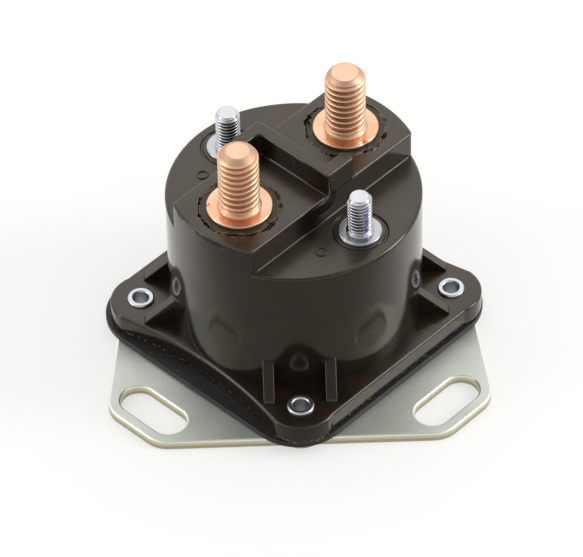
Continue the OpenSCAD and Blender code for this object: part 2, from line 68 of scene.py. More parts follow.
# Lengths are in mm until a mesh is filled. Only the settings are in metres.
FLANGE_FOOT = 3.2  # the flange's underside, on the gasket
ROOF = 31.8  # underside of the housing's roof, that the studs' heads lie against
PLATFORM = 42.0  # top of the housing's platform
MAIN_HOLE, SMALL_HOLE = 4.22, 2.66  # radii of the holes for the studs
MAIN_X, SMALL_Y = 14.9, 17.46  # from the axis to each stud
EYELET_RING = 30.7  # from the axis to each eyelet's middle
WELD = 0.0005  # points of a shell nearer than this are joined
HARD_EDGE = 50  # degrees: sharper edges shade hard
ROWS_A_TURN = 16  # rows of the mesh for each turn of a thread


def top_of(node):
    """Highest Z of a CAD node, in mm."""
    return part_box(node)[1].z / MM


def foot_of(node):
    """Lowest Z of a CAD node, in mm."""
    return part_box(node)[0].z / MM


def middle_of(node):
    """Middle of a CAD node's box, as X and Y in mm."""
    low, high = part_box(node)
    return np.array([(low.x + high.x) / 2, (low.y + high.y) / 2]) / MM


def radius_of(node):
    """Half the width of a CAD node's box, in mm."""
    low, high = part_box(node)
    return (high.x - low.x) / 2 / MM


# ---------------------------------------------------------------- settings


def colour(name, description, default):
    """A setting that is a colour."""
    return FloatVectorProperty(
        name=name, description=description, default=default,
        subtype="COLOR", size=3, min=0, max=1,
    )


def number(name, description, default, low, high, unit="NONE"):
    """A setting that is a number in its unit, from low to high."""
    return FloatProperty(
        name=name, description=description, default=default,
        unit=unit, min=low, max=high, precision=6 if unit == "LENGTH" else 3,
    )


def length(*settings):
    """A setting that is a length in metres."""
    return number(*settings, unit="LENGTH")


class RelayColours(bpy.types.PropertyGroup):
    """Colours of the relay's materials"""

    moulding: colour("Moulding", "The phenolic housing", (0.0085, 0.0062, 0.0042))
    # Also painted top light: most of this colour goes on the upward faces.
    moulding_warm: colour(
        "Moulding, warm", "Browner colour that clouds the housing's tops", (0.026, 0.0135, 0.0060),
    )
    copper: colour("Copper", "The main studs and their collars", (0.80, 0.53, 0.365))
    copper_dark: colour("Copper, dark", "The copper in its thread roots", (0.66, 0.22, 0.055))
    zinc: colour("Zinc", "The bright plated studs, collars and eyelets", (0.60, 0.615, 0.64))
    plate: colour("Plate", "The mounting plate", (0.62, 0.64, 0.585))
    rubber: colour("Rubber", "The gasket", (0.0085, 0.0085, 0.010))
    paint: colour("Paint", "The paint mark on the start stud", (0.075, 0.045, 0.27))


class RelayEdges(bpy.types.PropertyGroup):
    """Roundings of the relay's edges"""

    moulding: length("Moulding", "Largest rounding on the housing", 0.0005, 0.0001, 0.001)
    plate: length("Plate", "Rounding on the plate's upper edges", 0.00045, 0.0001, 0.0009)
    gasket: length("Gasket", "Rounding on the gasket's edges", 0.00018, 0.00005, 0.0004)


class RelayThreads(bpy.types.PropertyGroup):
    """Threads of the studs"""

    main_pitch: length("Main pitch", "Main studs, 18 to the inch", 0.0254 / 18, 0.0005, 0.003)
    main_depth: length("Main depth", "Depth of the main studs' thread", 0.0008, 0.0001, 0.0015)
    small_pitch: length("Small pitch", "Small studs, 32 to the inch", 0.0254 / 32, 0.0003, 0.002)
    small_depth: length("Small depth", "Depth of the small studs' thread", 0.00048, 0.0001, 0.001)


class RelayStage(bpy.types.PropertyGroup):
    """Camera and light"""

    lens: number("Lens", "Focal length in millimetres, on a 36 mm sensor", 287.35, 20, 500)
    distance: length("Distance", "From the camera to the point it looks at", 0.91861, 0.2, 5)
    elevation: number("Elevation", "Camera above the horizon, in degrees", 44.89, 0, 90)
    azimuth: number("Azimuth", "Camera's turn from the front, in degrees", -0.66, -180, 180)
    roll: number("Roll", "Roll of the camera, in degrees", -1.4, -10, 10)
    key: number("Key light", "Power of the large light overhead", 1.3, 0, 100, "POWER")
    side: number("Side lights", "Power that the lights at the sides share", 3.3, 0, 100, "POWER")
    room: number("Room light", "Strength of the even light from all round", 0.94, 0, 2)


# ---------------------------------------------------------------- surfaces


def shell(rows, ends="open"):
    """Faces over a grid of points.

    rows has the shape (rows, columns, 3) and its columns always close on themselves. Its ends
    are "open", "joined" where the last row goes back to the first, like a ring's section, or
    "fans" where the first and last rows are each closed round their middle point.
    """
    count, columns = rows.shape[:2]
    verts = rows.reshape(-1, 3)
    this_row = np.arange(count if ends == "joined" else count - 1)[:, None]
    next_row = (this_row + 1) % count
    here = np.arange(columns)[None, :]
    beside = (here + 1) % columns
    quads = np.stack([
        this_row * columns + here, this_row * columns + beside,
        next_row * columns + beside, next_row * columns + here,
    ], axis=-1).reshape(-1, 4)
    if ends != "fans":
        return verts, quads, NO_TRIANGLES
    low, high = len(verts), len(verts) + 1
    verts = np.concatenate([verts, rows[0].mean(0)[None], rows[-1].mean(0)[None]])
    ring = np.arange(columns)
    after = (ring + 1) % columns
    last = (count - 1) * columns
    fans = [
        np.stack([np.full(columns, low), after, ring], axis=-1),
        np.stack([np.full(columns, high), last + ring, last + after], axis=-1),
    ]
    return verts, quads, np.concatenate(fans)


def inside(points, loop):
    """Which 2-D points lie inside a closed loop: a line from them crosses it an odd count."""
    x, y = points[:, :1], points[:, 1:]
    (x1, y1), (x2, y2) = loop.T, np.roll(loop, -1, axis=0).T
    spans = (y1 > y) != (y2 > y)
    slope = (x2 - x1) / np.where(y2 == y1, 1, y2 - y1)
    return (spans & (x < x1 + slope * (y - y1))).sum(axis=1) % 2 == 1


def cap(loops, z, down=False):
    """A flat face at height z inside the first loop of 2-D points and outside the others."""
    points = np.concatenate(loops)
    edges, start = [], 0
    for loop in loops:
        ring = np.arange(start, start + len(loop))
        edges.append(np.stack([ring, np.roll(ring, -1)], axis=1))
        start += len(loop)
    found = delaunay_2d_cdt(list(map(Vector, points)), np.concatenate(edges).tolist(), [], 1, 1e-7)
    flat = np.array([tuple(v) for v in found[0]])
    tris = np.array(found[2], int)
    middle = flat[tris].mean(axis=1)
    kept = inside(middle, loops[0])
    for hole in loops[1:]:
        kept &= ~inside(middle, hole)
    tris = tris[kept]
    a, b, c = (flat[tris[:, k]] for k in range(3))
    turned = np.cross(b - a, c - a) < 0
    tris[turned] = tris[turned][:, ::-1]
    verts = np.column_stack([flat, np.full(len(flat), float(z))])
    return verts, NO_QUADS, tris[:, ::-1] if down else tris


def moved(part, matrix, offset=(0, 0, 0)):
    """A shell whose points are multiplied by a 3x3 matrix and then shifted."""
    verts, quads, tris = part
    return verts @ np.asarray(matrix, float).T + np.asarray(offset, float), quads, tris


def spin(angle):
    """The 3x3 matrix of a turn about Z."""
    return np.array([
        [math.cos(angle), -math.sin(angle), 0], [math.sin(angle), math.cos(angle), 0], [0, 0, 1],
    ])


def outward(outline):
    """The miter direction at each point of an anticlockwise outline: it moves both edges by 1."""
    step = np.roll(outline, -1, axis=0) - outline
    step /= np.linalg.norm(step, axis=1, keepdims=True)
    normal = np.column_stack([step[:, 1], -step[:, 0]])
    before = np.roll(normal, 1, axis=0)
    share = 1 + (normal * before).sum(axis=1, keepdims=True)
    return (normal + before) / np.maximum(share, 0.4)


def wall(outline, rows):
    """The outline carried up through rows of (inset, height), the inset measured inwards.

    Insets and heights are numbers, or arrays with one number for each point of the outline.
    """
    away = outward(outline)
    size = len(outline)
    return shell(np.stack([
        np.column_stack([
            outline - np.broadcast_to(inset, size)[:, None] * away, np.broadcast_to(z, size),
        ]) for inset, z in rows
    ]))


def quarter(inset, z, cut, steps=4):
    """Rows that round an upper edge: a quarter circle inwards from a wall to a top at height z."""
    turn = np.linspace(0, math.pi / 2, steps + 1)
    return [(inset + cut * (1 - math.cos(a)), z - cut * (1 - math.sin(a))) for a in turn]


def hollow_foot(size, z):
    """Rows that hollow out a wall's foot on a floor at height z: a quarter circle outwards."""
    turn = np.linspace(0, math.pi / 2, 5)
    start = [(-size, z - 0.02)]
    return start + [(-size * (1 - math.sin(a)), z + size * (1 - math.cos(a))) for a in turn]


def circle(radius, columns, centre=(0, 0)):
    """An anticlockwise circle of 2-D points."""
    angle = np.linspace(0, TURN, columns, endpoint=False)
    return np.asarray(centre) + radius * np.column_stack([np.cos(angle), np.sin(angle)])


def put(name, shells, values=None, weld=False):
    """A mesh object from shells in mm. values maps an attribute's name to a number per vertex.

    Where weld is true, points that coincide are joined, and flat faces keep their flat shading.
    """
    offset, verts, quads, tris = 0, [], [], []
    for points, four, three in shells:
        verts.append(points)
        quads.append(four + offset)
        tris.append(three + offset)
        offset += len(points)
    verts, quads, tris = (np.concatenate(part) for part in (verts, quads, tris))
    mesh = bpy.data.meshes.new(name)
    mesh.vertices.add(len(verts))
    mesh.vertices.foreach_set("co", (verts * MM).astype(np.float32).ravel())
    corners = np.concatenate([quads.ravel(), tris.ravel()])
    sizes = np.concatenate([np.full(len(quads), 4), np.full(len(tris), 3)])
    mesh.loops.add(len(corners))
    mesh.loops.foreach_set("vertex_index", corners.astype(np.int32))
    mesh.polygons.add(len(sizes))
    mesh.polygons.foreach_set("loop_start", (np.cumsum(sizes) - sizes).astype(np.int32))
    mesh.update(calc_edges=True)
    mesh.validate()
    mesh.shade_smooth()
    for key, numbers in (values or {}).items():
        attribute = mesh.attributes.new(key, "FLOAT", "POINT")
        attribute.data.foreach_set("value", np.asarray(numbers, np.float32))
    made = bpy.data.objects.new(name, mesh)
    bpy.context.scene.collection.objects.link(made)
    if weld:
        work = bmesh.new()
        work.from_mesh(mesh)
        bmesh.ops.remove_doubles(work, verts=work.verts, dist=WELD * MM)
        work.to_mesh(mesh)
        work.free()
        mesh.set_sharp_from_angle(angle=math.radians(HARD_EDGE))
        flat_faces(made)
    return made


def flat_faces(made):
    """Normals weighted by area, so that large flat faces shade flat between their rounded edges."""
    normals = made.modifiers.new("normals", "WEIGHTED_NORMAL")
    normals.weight = 100
    normals.keep_sharp = True


def lathe(profile, centre, columns, ends="open", swell=None):
    """A turned shape: each point of the profile, (radius, height), carried round the centre.

    swell(angle, radius, height) may return changed radius and height arrays, so that the shape
    varies round the turn. Profiles run from the foot to the top on the outside.
    """
    profile = np.asarray(profile, float)
    angle = np.linspace(0, TURN, columns, endpoint=False)[None, :]
    radius = np.repeat(profile[:, :1], columns, axis=1)
    height = np.repeat(profile[:, 1:2], columns, axis=1)
    if swell:
        radius, height = swell(angle, radius, height)
    rows = np.stack([
        centre[0] + radius * np.cos(angle), centre[1] + radius * np.sin(angle), height,
    ], axis=-1)
    return shell(rows, ends)


def rounded(points, radii, steps=5):
    """A profile whose corners are rounded: a quarter-like arc from Bezier weights at each corner.

    points are (radius, height) corners of an open line, and radii the cut at each inner corner.
    """
    points = np.asarray(points, float)
    out = [points[:1]]
    t = np.linspace(0, 1, steps)[:, None]
    for before, corner, after, cut in zip(points[:-2], points[1:-1], points[2:], radii):
        if cut <= 0:
            out.append(corner[None])
            continue
        start = corner + (before - corner) / np.linalg.norm(before - corner) * cut
        end = corner + (after - corner) / np.linalg.norm(after - corner) * cut
        out.append((1 - t) ** 2 * start + 2 * t * (1 - t) * corner + t ** 2 * end)
    out.append(points[-1:])
    return np.concatenate(out)


def rounded_ring(points, radii, steps=5):
    """As rounded(), for a closed section whose last corner is joined to its first."""
    points = np.asarray(points, float)
    around = np.concatenate([points[-1:], points, points[:1]])
    return rounded(around, radii, steps)[1:-1]


def refine(profile, step):
    """Adds points to a profile, evenly, so that no two are further apart than step."""
    out = [profile[:1]]
    for a, b in zip(profile[:-1], profile[1:]):
        count = max(1, int(math.ceil(np.linalg.norm(b - a) / step)))
        out.append(a + (b - a) * (np.arange(1, count + 1) / count)[:, None])
    return np.concatenate(out)


def dense_loop(points, step):
    """As refine(), for a closed line."""
    return refine(np.concatenate([points, points[:1]]), step)[:-1]


def eyelet_places():
    """The middles of the four eyelets, on a circle, a quarter turn apart."""
    return [EYELET_RING * spin(k * TURN / 4)[:2, 0] for k in range(4)]


def turned_past(angle, direction):
    """How far an angle is past a direction in degrees: from half a turn before it to half after."""
    return (angle - math.radians(direction) + math.pi) % TURN - math.pi


def waves(angle, seed, terms=9, lowest=2):
    """A smooth irregular line round a turn, from -1 to 1: a sum of sines with seeded phases."""
    rng = np.random.default_rng(seed)
    order = lowest + np.arange(terms)
    phase = rng.uniform(0, TURN, terms)
    weight = rng.uniform(0.5, 1, terms)
    total = sum(w * np.sin(k * angle + p) for k, p, w in zip(order, phase, weight))
    return total / np.sqrt((weight ** 2).sum() * 2)


def tube(path, radius, facets):
    """A wire: a circle carried along a path of points, turned as little as possible, in mm.

    Each step projects the last side direction off the path's new direction.
    """
    ways = np.gradient(path, axis=0)
    ways /= np.linalg.norm(ways, axis=1, keepdims=True)
    side = np.cross(ways[0], [0, 0, 1.0])
    sides = []
    for way in ways:
        side = side - (side @ way) * way
        side /= np.linalg.norm(side)
        sides.append(side)
    sides = np.array(sides)
    other = np.cross(ways, sides)
    angle = np.linspace(0, TURN, facets, endpoint=False)[None, :, None]
    rows = path[:, None] + radius * (
        np.cos(angle) * sides[:, None] + np.sin(angle) * other[:, None]
    )
    return shell(rows, "fans")


def merged_copy(node, name):
    """A copy of a CAD node with its loose triangles merged and its flat faces joined."""
    merge, flat = 0.002 * MM, math.radians(0.4)
    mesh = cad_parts[node].data.copy()
    mesh.name = name
    work = bmesh.new()
    work.from_mesh(mesh)
    bmesh.ops.remove_doubles(work, verts=work.verts, dist=merge)
    bmesh.ops.dissolve_limit(
        work, angle_limit=flat, verts=work.verts, edges=work.edges, use_dissolve_boundaries=False,
    )
    work.to_mesh(mesh)
    work.free()
    mesh.materials.clear()
    mesh.shade_smooth()
    made = bpy.data.objects.new(name, mesh)
    bpy.context.scene.collection.objects.link(made)
    return made


def edge_table(mesh):
    """Middles of a mesh's edges in mm, and the angle across each in degrees."""
    work = bmesh.new()
    work.from_mesh(mesh)
    angle = np.array([e.calc_face_angle(0) for e in work.edges])
    middle = np.array([(e.verts[0].co + e.verts[1].co) / 2 for e in work.edges]) / MM
    work.free()
    return middle, np.degrees(angle)


def round_edges(made, width, angles, weights, segments):
    """A live Bevel of each edge's share of the width. Other hard edges stay hard."""
    weights = np.asarray(weights, np.float32)
    attribute = made.data.attributes.new("bevel_weight_edge", "FLOAT", "EDGE")
    attribute.data.foreach_set("value", weights)
    sharp = made.data.attributes.new("sharp_edge", "BOOLEAN", "EDGE")
    sharp.data.foreach_set("value", (angles > HARD_EDGE) & (weights == 0))
    bevel = made.modifiers.new("edges", "BEVEL")
    bevel.limit_method = "WEIGHT"
    bevel.width = width
    bevel.segments = segments
    bevel.use_clamp_overlap = False
    bevel.miter_outer = "MITER_ARC"
    flat_faces(made)


def place(made, material, body, slot, *nodes):
    """Gives a piece its material and its body, and hides the CAD nodes that it stands for; the slot
    is not used.
    """
    made.data.materials.append(material)
    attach(made, body)
    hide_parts(*nodes)


def dress(material, *nodes):
    """Gives CAD nodes a material."""
    for node in nodes:
        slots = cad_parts[node].data.materials
        slots.clear()
        slots.append(material)


# ---------------------------------------------------------------- shader maths


class Wire:
    """A shader socket that takes part in Python arithmetic; each operator adds a Math node."""

    def __init__(self, finish, socket):
        self.finish = finish
        self.socket = socket

    def math(self, operation, *others):
        made = self.finish.node("ShaderNodeMath", {"operation": operation}, self, *others)
        return Wire(self.finish, made.outputs[0])

    def __add__(self, other):
        return self.math("ADD", other)

    def __sub__(self, other):
        return self.math("SUBTRACT", other)

    def __mul__(self, other):
        return self.math("MULTIPLY", other)

    def __rsub__(self, other):
        made = self.finish.node("ShaderNodeMath", {"operation": "SUBTRACT"}, other, self)
        return Wire(self.finish, made.outputs[0])

    __radd__ = __add__
    __rmul__ = __mul__

    def ramp(self, low, high, start=0.0, end=1.0):
        """Goes smoothly from start, at low, to end, at high."""
        made = self.finish.node(
            "ShaderNodeMapRange", {"interpolation_type": "SMOOTHSTEP"},
            self, low, high, start, end,
        )
        return Wire(self.finish, made.outputs[0])


class Tree:
    """The nodes of a material or of the world."""

    def __init__(self, owner):
        owner.use_nodes = True
        self.tree = owner.node_tree
        self.tree.nodes.clear()

    def feed(self, socket, value):
        """Links a socket to what drives it, or sets its constant. None leaves it as it is."""
        value = value.socket if isinstance(value, Wire) else value
        if isinstance(value, bpy.types.NodeSocket):
            self.tree.links.new(value, socket)
        elif value is not None:
            socket.default_value = value

    def node(self, kind, settings=None, *values, **named):
        """A node of a kind: its settings first, then its sockets in order or by name."""
        made = self.tree.nodes.new(kind)
        for key, value in (settings or {}).items():
            setattr(made, key, value)
        for key, value in [*enumerate(values), *named.items()]:
            key = key.replace("_", " ") if isinstance(key, str) else key
            self.feed(made.inputs[key], value)
        return made


class Finish(Tree):
    """A material and the nodes that make it. Patterns are in mm, on Object coordinates."""

    def __init__(self, name):
        self.material = bpy.data.materials.new(name)
        super().__init__(self.material)
        self.shader = self.node("ShaderNodeBsdfPrincipled")
        self.output = self.node("ShaderNodeOutputMaterial", None, self.shader.outputs[0])
        where = self.node("ShaderNodeTexCoord").outputs["Object"]
        scaled = self.node("ShaderNodeVectorMath", {"operation": "SCALE"}, where, Scale=1 / MM)
        self.at = scaled.outputs[0]
        split = self.node("ShaderNodeSeparateXYZ", None, self.at).outputs
        self.x, self.y, self.z = (Wire(self, socket) for socket in split)
        facing = self.node("ShaderNodeNewGeometry").outputs["Normal"]
        self.up = Wire(self, self.node("ShaderNodeSeparateXYZ", None, facing).outputs[2])

    def noise(self, scale, detail=3.0, roughness=0.55, stretch=None):
        """Noise from 0 to 1, with scale features to the mm, stretched along the axes."""
        at, multiply = self.at, {"operation": "MULTIPLY"}
        if stretch:
            at = self.node("ShaderNodeVectorMath", multiply, at, stretch).outputs[0]
        made = self.node(
            "ShaderNodeTexNoise", None, at, Scale=scale, Detail=detail, Roughness=roughness,
        )
        return Wire(self, made.outputs[0])

    def specks(self, scale, size):
        """Small round specks, scale to the mm, each with its radius a share of their spacing."""
        made = self.node("ShaderNodeTexVoronoi", None, self.at, Scale=scale)
        return Wire(self, made.outputs["Distance"]).ramp(size, size * 0.6)

    def near(self, x, y, z, reach):
        """1 at a point in mm, down to 0 at its reach."""
        gap = self.node("ShaderNodeVectorMath", {"operation": "DISTANCE"}, self.at, (x, y, z))
        return Wire(self, gap.outputs["Value"]).ramp(reach, 0.0)

    def value(self, name):
        """A number that the mesh carries in an attribute."""
        made = self.node("ShaderNodeAttribute", {"attribute_name": name})
        return Wire(self, made.outputs["Fac"])

    def mix(self, mask, a, b):
        """Colour a where the mask is 0, and b where it is 1."""
        made = self.node("ShaderNodeMix", {"data_type": "RGBA"}, mask)
        for index, colour in ((6, a), (7, b)):
            linked = isinstance(colour, bpy.types.NodeSocket)
            self.feed(made.inputs[index], colour if linked else (*colour, 1))
        return made.outputs[2]

    def bump(self, height, depth, normal=None):
        """A Bump node for a height from 0 to 1 that stands for depth mm."""
        made = self.node(
            "ShaderNodeBump", None, Strength=1.0, Distance=depth * MM, Height=height, Normal=normal,
        )
        return made.outputs[0]

    def finish(self, colour, roughness, metallic=0.0, normal=None, **others):
        """Joins what varies to the shader, and sets what is the same all over on its sockets."""
        values = {"Base_Color": colour, "Roughness": roughness, "Metallic": metallic}
        for key, value in {**values, "Normal": normal, **others}.items():
            self.feed(self.shader.inputs[key.replace("_", " ")], value)
        return self.material


# ---------------------------------------------------------------- finishes


def shade(colour, share):
    """A colour made darker or lighter by a share."""
    return tuple(min(1.0, channel * share) for channel in colour)


def moulding_finish(colours):
    """Dark phenolic: glossy walls and satin tops with a brown cloud and dust. The cloud lies mostly
    on the tops, where it is also painted top light.

    Tan flecks lie along the flange's foot and rusty stains by two studs. Where the mesh's
    attributes say so, the torn rings' lips are pale as a painted highlight, and their cracks and
    the land inside them are dark as painted shade.
    """
    f = Finish("phenolic")
    cloud = f.noise(0.16, 4.0).ramp(0.35, 0.68)
    grain = f.noise(5.0)
    top = f.up.ramp(0.55, 0.95)
    # Painted top light: the brown cloud is weighted to upward faces, so the tops come out lighter
    # and browner than the walls.
    colour = f.mix(cloud * (top * 0.6 + 0.1), colours.moulding, colours.moulding_warm)
    dust = f.specks(0.55, 0.09) * f.noise(0.6, 2.0).ramp(0.56, 0.66)
    colour = f.mix(dust * 0.5, colour, (0.34, 0.30, 0.25))
    flecks = f.z.ramp(FLANGE_FOOT + 1.1, FLANGE_FOOT + 0.5) * f.noise(1.7, 4.0).ramp(0.54, 0.64)
    colour = f.mix(flecks * 0.7, colour, (0.22, 0.13, 0.055))
    stain = f.near(-11.0, -18.7, PLATFORM, 3.0) * f.noise(1.3, 4.0).ramp(0.42, 0.62)
    stain = stain + f.near(7.6, -2.0, PLATFORM, 2.0) * f.noise(1.5, 4.0).ramp(0.45, 0.62)
    colour = f.mix(stain * 0.5, colour, (0.13, 0.045, 0.012))
    torn = f.noise(2.6, 4.0)
    lip, crack = f.value("lip"), f.value("crack")
    # Painted highlight: the torn lips are coloured pale tan.
    colour = f.mix(lip * torn.ramp(0.30, 0.50), colour, (0.25, 0.19, 0.11))
    # Painted shade: the cracks, and half the land inside them, take the darkest brown.
    colour = f.mix(crack, colour, (0.009, 0.0055, 0.0035))
    roughness = top * (0.12 + 0.10 * f.noise(0.5)) + 0.10
    roughness = roughness + grain * 0.04 + dust * 0.2 + crack * 0.4 + lip * 0.15
    relief = grain * (top * 0.6 + 0.06) + torn * (lip + crack) * 2
    normal = f.bump(relief, 0.012, f.bump(f.noise(0.10, 2.0), 0.10))
    return f.finish(
        colour, roughness, 0.0, normal, IOR=1.5,
        Specular_IOR_Level=0.50, Specular_Tint=(1, 0.91, 0.77, 1),
        Coat_Weight=top * (1.0 - crack) * 0.45, Coat_Roughness=0.24, Coat_Tint=(1, 0.94, 0.84, 1),
    )


def copper_finish(colours, name="copper", rough=0.32):
    """Rolled copper, redder in its thread roots, with turning marks, pits and a dull tip's edge.

    A clouded flush of red lies on the collars and round the studs' feet, part tarnish and part
    painted reflection of the studs. The studs end at 56 mm.
    """
    f = Finish(name)
    root = f.value("root")
    cloud = f.noise(0.45, 4.0)
    colour = f.mix(cloud.ramp(0.35, 0.75) * 0.25, colours.copper, shade(colours.copper, 0.84))
    colour = f.mix(root.ramp(0.15, 1.0) * 0.85, colour, colours.copper_dark)
    # Painted reflection, in part: the red flush on upward copper below 44 mm darkens the collars
    # the way the studs seen in them would.
    flush = f.up.ramp(0.6, 0.9) * f.noise(0.30).ramp(0.35, 0.62) * f.z.ramp(44.0, 43.0)
    colour = f.mix(flush * 0.5, colour, (0.78, 0.36, 0.20))
    tip = f.z.ramp(55.75, 55.95) * f.up.ramp(0.93, 0.86)
    colour = f.mix(tip * 0.8, colour, (0.58, 0.34, 0.235))
    pits = f.specks(1.1, 0.10) * f.noise(0.7, 2.0).ramp(0.58, 0.66)
    colour = f.mix(pits * 0.75, colour, (0.20, 0.10, 0.06))
    marks = f.noise(1.0, 3.0, 0.6, (1.2, 1.2, 14.0))
    roughness = cloud * 0.08 + marks * 0.04 + pits * 0.2 + tip * 0.12 + rough
    normal = f.bump(marks, 0.006, f.bump(pits * -1, 0.04, f.bump(cloud, 0.02)))
    return f.finish(colour, roughness, 1.0, normal)


def zinc_finish(colours, name="zinc_bright", rough=0.09):
    """Bright smooth zinc plate with paint where the mesh says so. The mesh's root value darkens it
    as painted shade in the thread roots.
    """
    f = Finish(name)
    cloud = f.noise(0.6, 4.0)
    colour = f.mix(cloud.ramp(0.3, 0.8) * 0.4, colours.zinc, shade(colours.zinc, 0.82))
    # Painted shade: thread roots and the eyelets' tubes go near black. The small collars take half
    # the root value all over.
    colour = f.mix(f.value("root").ramp(0.25, 0.95) * 0.85, colour, (0.10, 0.10, 0.12))
    mark = f.value("paint") * f.noise(1.6, 4.0).ramp(0.36, 0.52)
    colour = f.mix(mark, colour, colours.paint)
    roughness = cloud * 0.07 + mark * 0.3 + rough
    return f.finish(colour, roughness, 1.0 - mark * 0.85, f.bump(cloud, 0.012))


def plate_finish(colours):
    """Zinc plated steel sheet: satin grey-green and mottled above, with a painted highlight on its
    rolled-over rims.

    Its cut edge is tan, and fractured along its lower part.
    """
    f = Finish("zinc_plate")
    grain = f.noise(3.2, 4.0, 0.65)
    cloud = f.noise(0.12, 4.0)
    colour = f.mix(cloud.ramp(0.3, 0.7), colours.plate, shade(colours.plate, 0.90))
    colour = f.mix(grain.ramp(0.45, 0.72) * 0.55, colour, (0.47, 0.50, 0.48))
    side = (1.0 - f.up.math("ABSOLUTE")).ramp(0.35, 0.8)
    torn = f.noise(2.4, 3.0, 0.6, (1.0, 1.0, 0.12))
    colour = f.mix(side, colour, (0.62, 0.60, 0.46))
    # Painted highlight: the rounded rims between the top and the cut edge are coloured near white.
    rim = f.up.ramp(0.15, 0.45) * f.up.ramp(0.985, 0.88)
    colour = f.mix(rim * 0.85, colour, (0.97, 0.97, 0.88))
    fracture = side * f.z.ramp(1.15, 0.75) * (torn * 0.5 + 0.4)
    colour = f.mix(fracture, colour, (0.33, 0.27, 0.15))
    scratch = f.noise(0.7, 3.0, 0.7, (0.25, 3.5, 1.0)).ramp(0.68, 0.74)
    colour = f.mix(scratch * 0.25, colour, (0.80, 0.82, 0.76))
    roughness = 0.42 + grain * 0.12 - side * 0.06 - rim * 0.16
    normal = f.bump(torn * side, 0.06, f.bump(grain, 0.010, f.bump(cloud, 0.12)))
    return f.finish(colour, roughness, 1.0 - side * 0.6, normal)


def rubber_finish(colours):
    """Matt blue-black rubber: a dusty bloom, a fine grain and tan flecks along its upper edge."""
    f = Finish("rubber")
    bloom = f.noise(0.5, 4.0)
    grain = f.noise(7.0, 2.0)
    colour = f.mix(bloom.ramp(0.4, 0.8) * 0.5, colours.rubber, (0.024, 0.025, 0.029))
    fleck = f.z.ramp(2.9, 3.15) * f.noise(1.7, 4.0).ramp(0.62, 0.70)
    colour = f.mix(fleck * 0.4, colour, (0.20, 0.11, 0.05))
    normal = f.bump(grain, 0.015)
    return f.finish(colour, 0.42 + grain * 0.15, 0.0, normal, Specular_IOR_Level=0.44)


def plain_finish(name, colour, dark, metallic, roughness, scale, depth, stretch=None):
    """A worn metal, plastic or fibre: two colours clouded together, with a grain of its own."""
    f = Finish(name)
    cloud = f.noise(scale, 4.0)
    grain = f.noise(scale * 9, 3.0, 0.6, stretch)
    mixed = f.mix(cloud.ramp(0.3, 0.75), colour, dark)
    return f.finish(mixed, roughness + grain * 0.15, metallic, f.bump(grain, depth))


def wire_finish():
    """Enamelled copper wire: amber varnish over copper, clouded from turn to turn."""
    f = Finish("enamelled_wire")
    cloud = f.noise(0.5, 3.0, 0.5, (1.0, 1.0, 6.0))
    colour = f.mix(cloud, (0.42, 0.13, 0.03), (0.66, 0.25, 0.07))
    rough, normal = 0.22 + cloud * 0.1, f.bump(cloud, 0.02)
    return f.finish(colour, rough, 0.6, normal, Coat_Weight=0.5, Coat_Roughness=0.12)


# ---------------------------------------------------------------- pieces


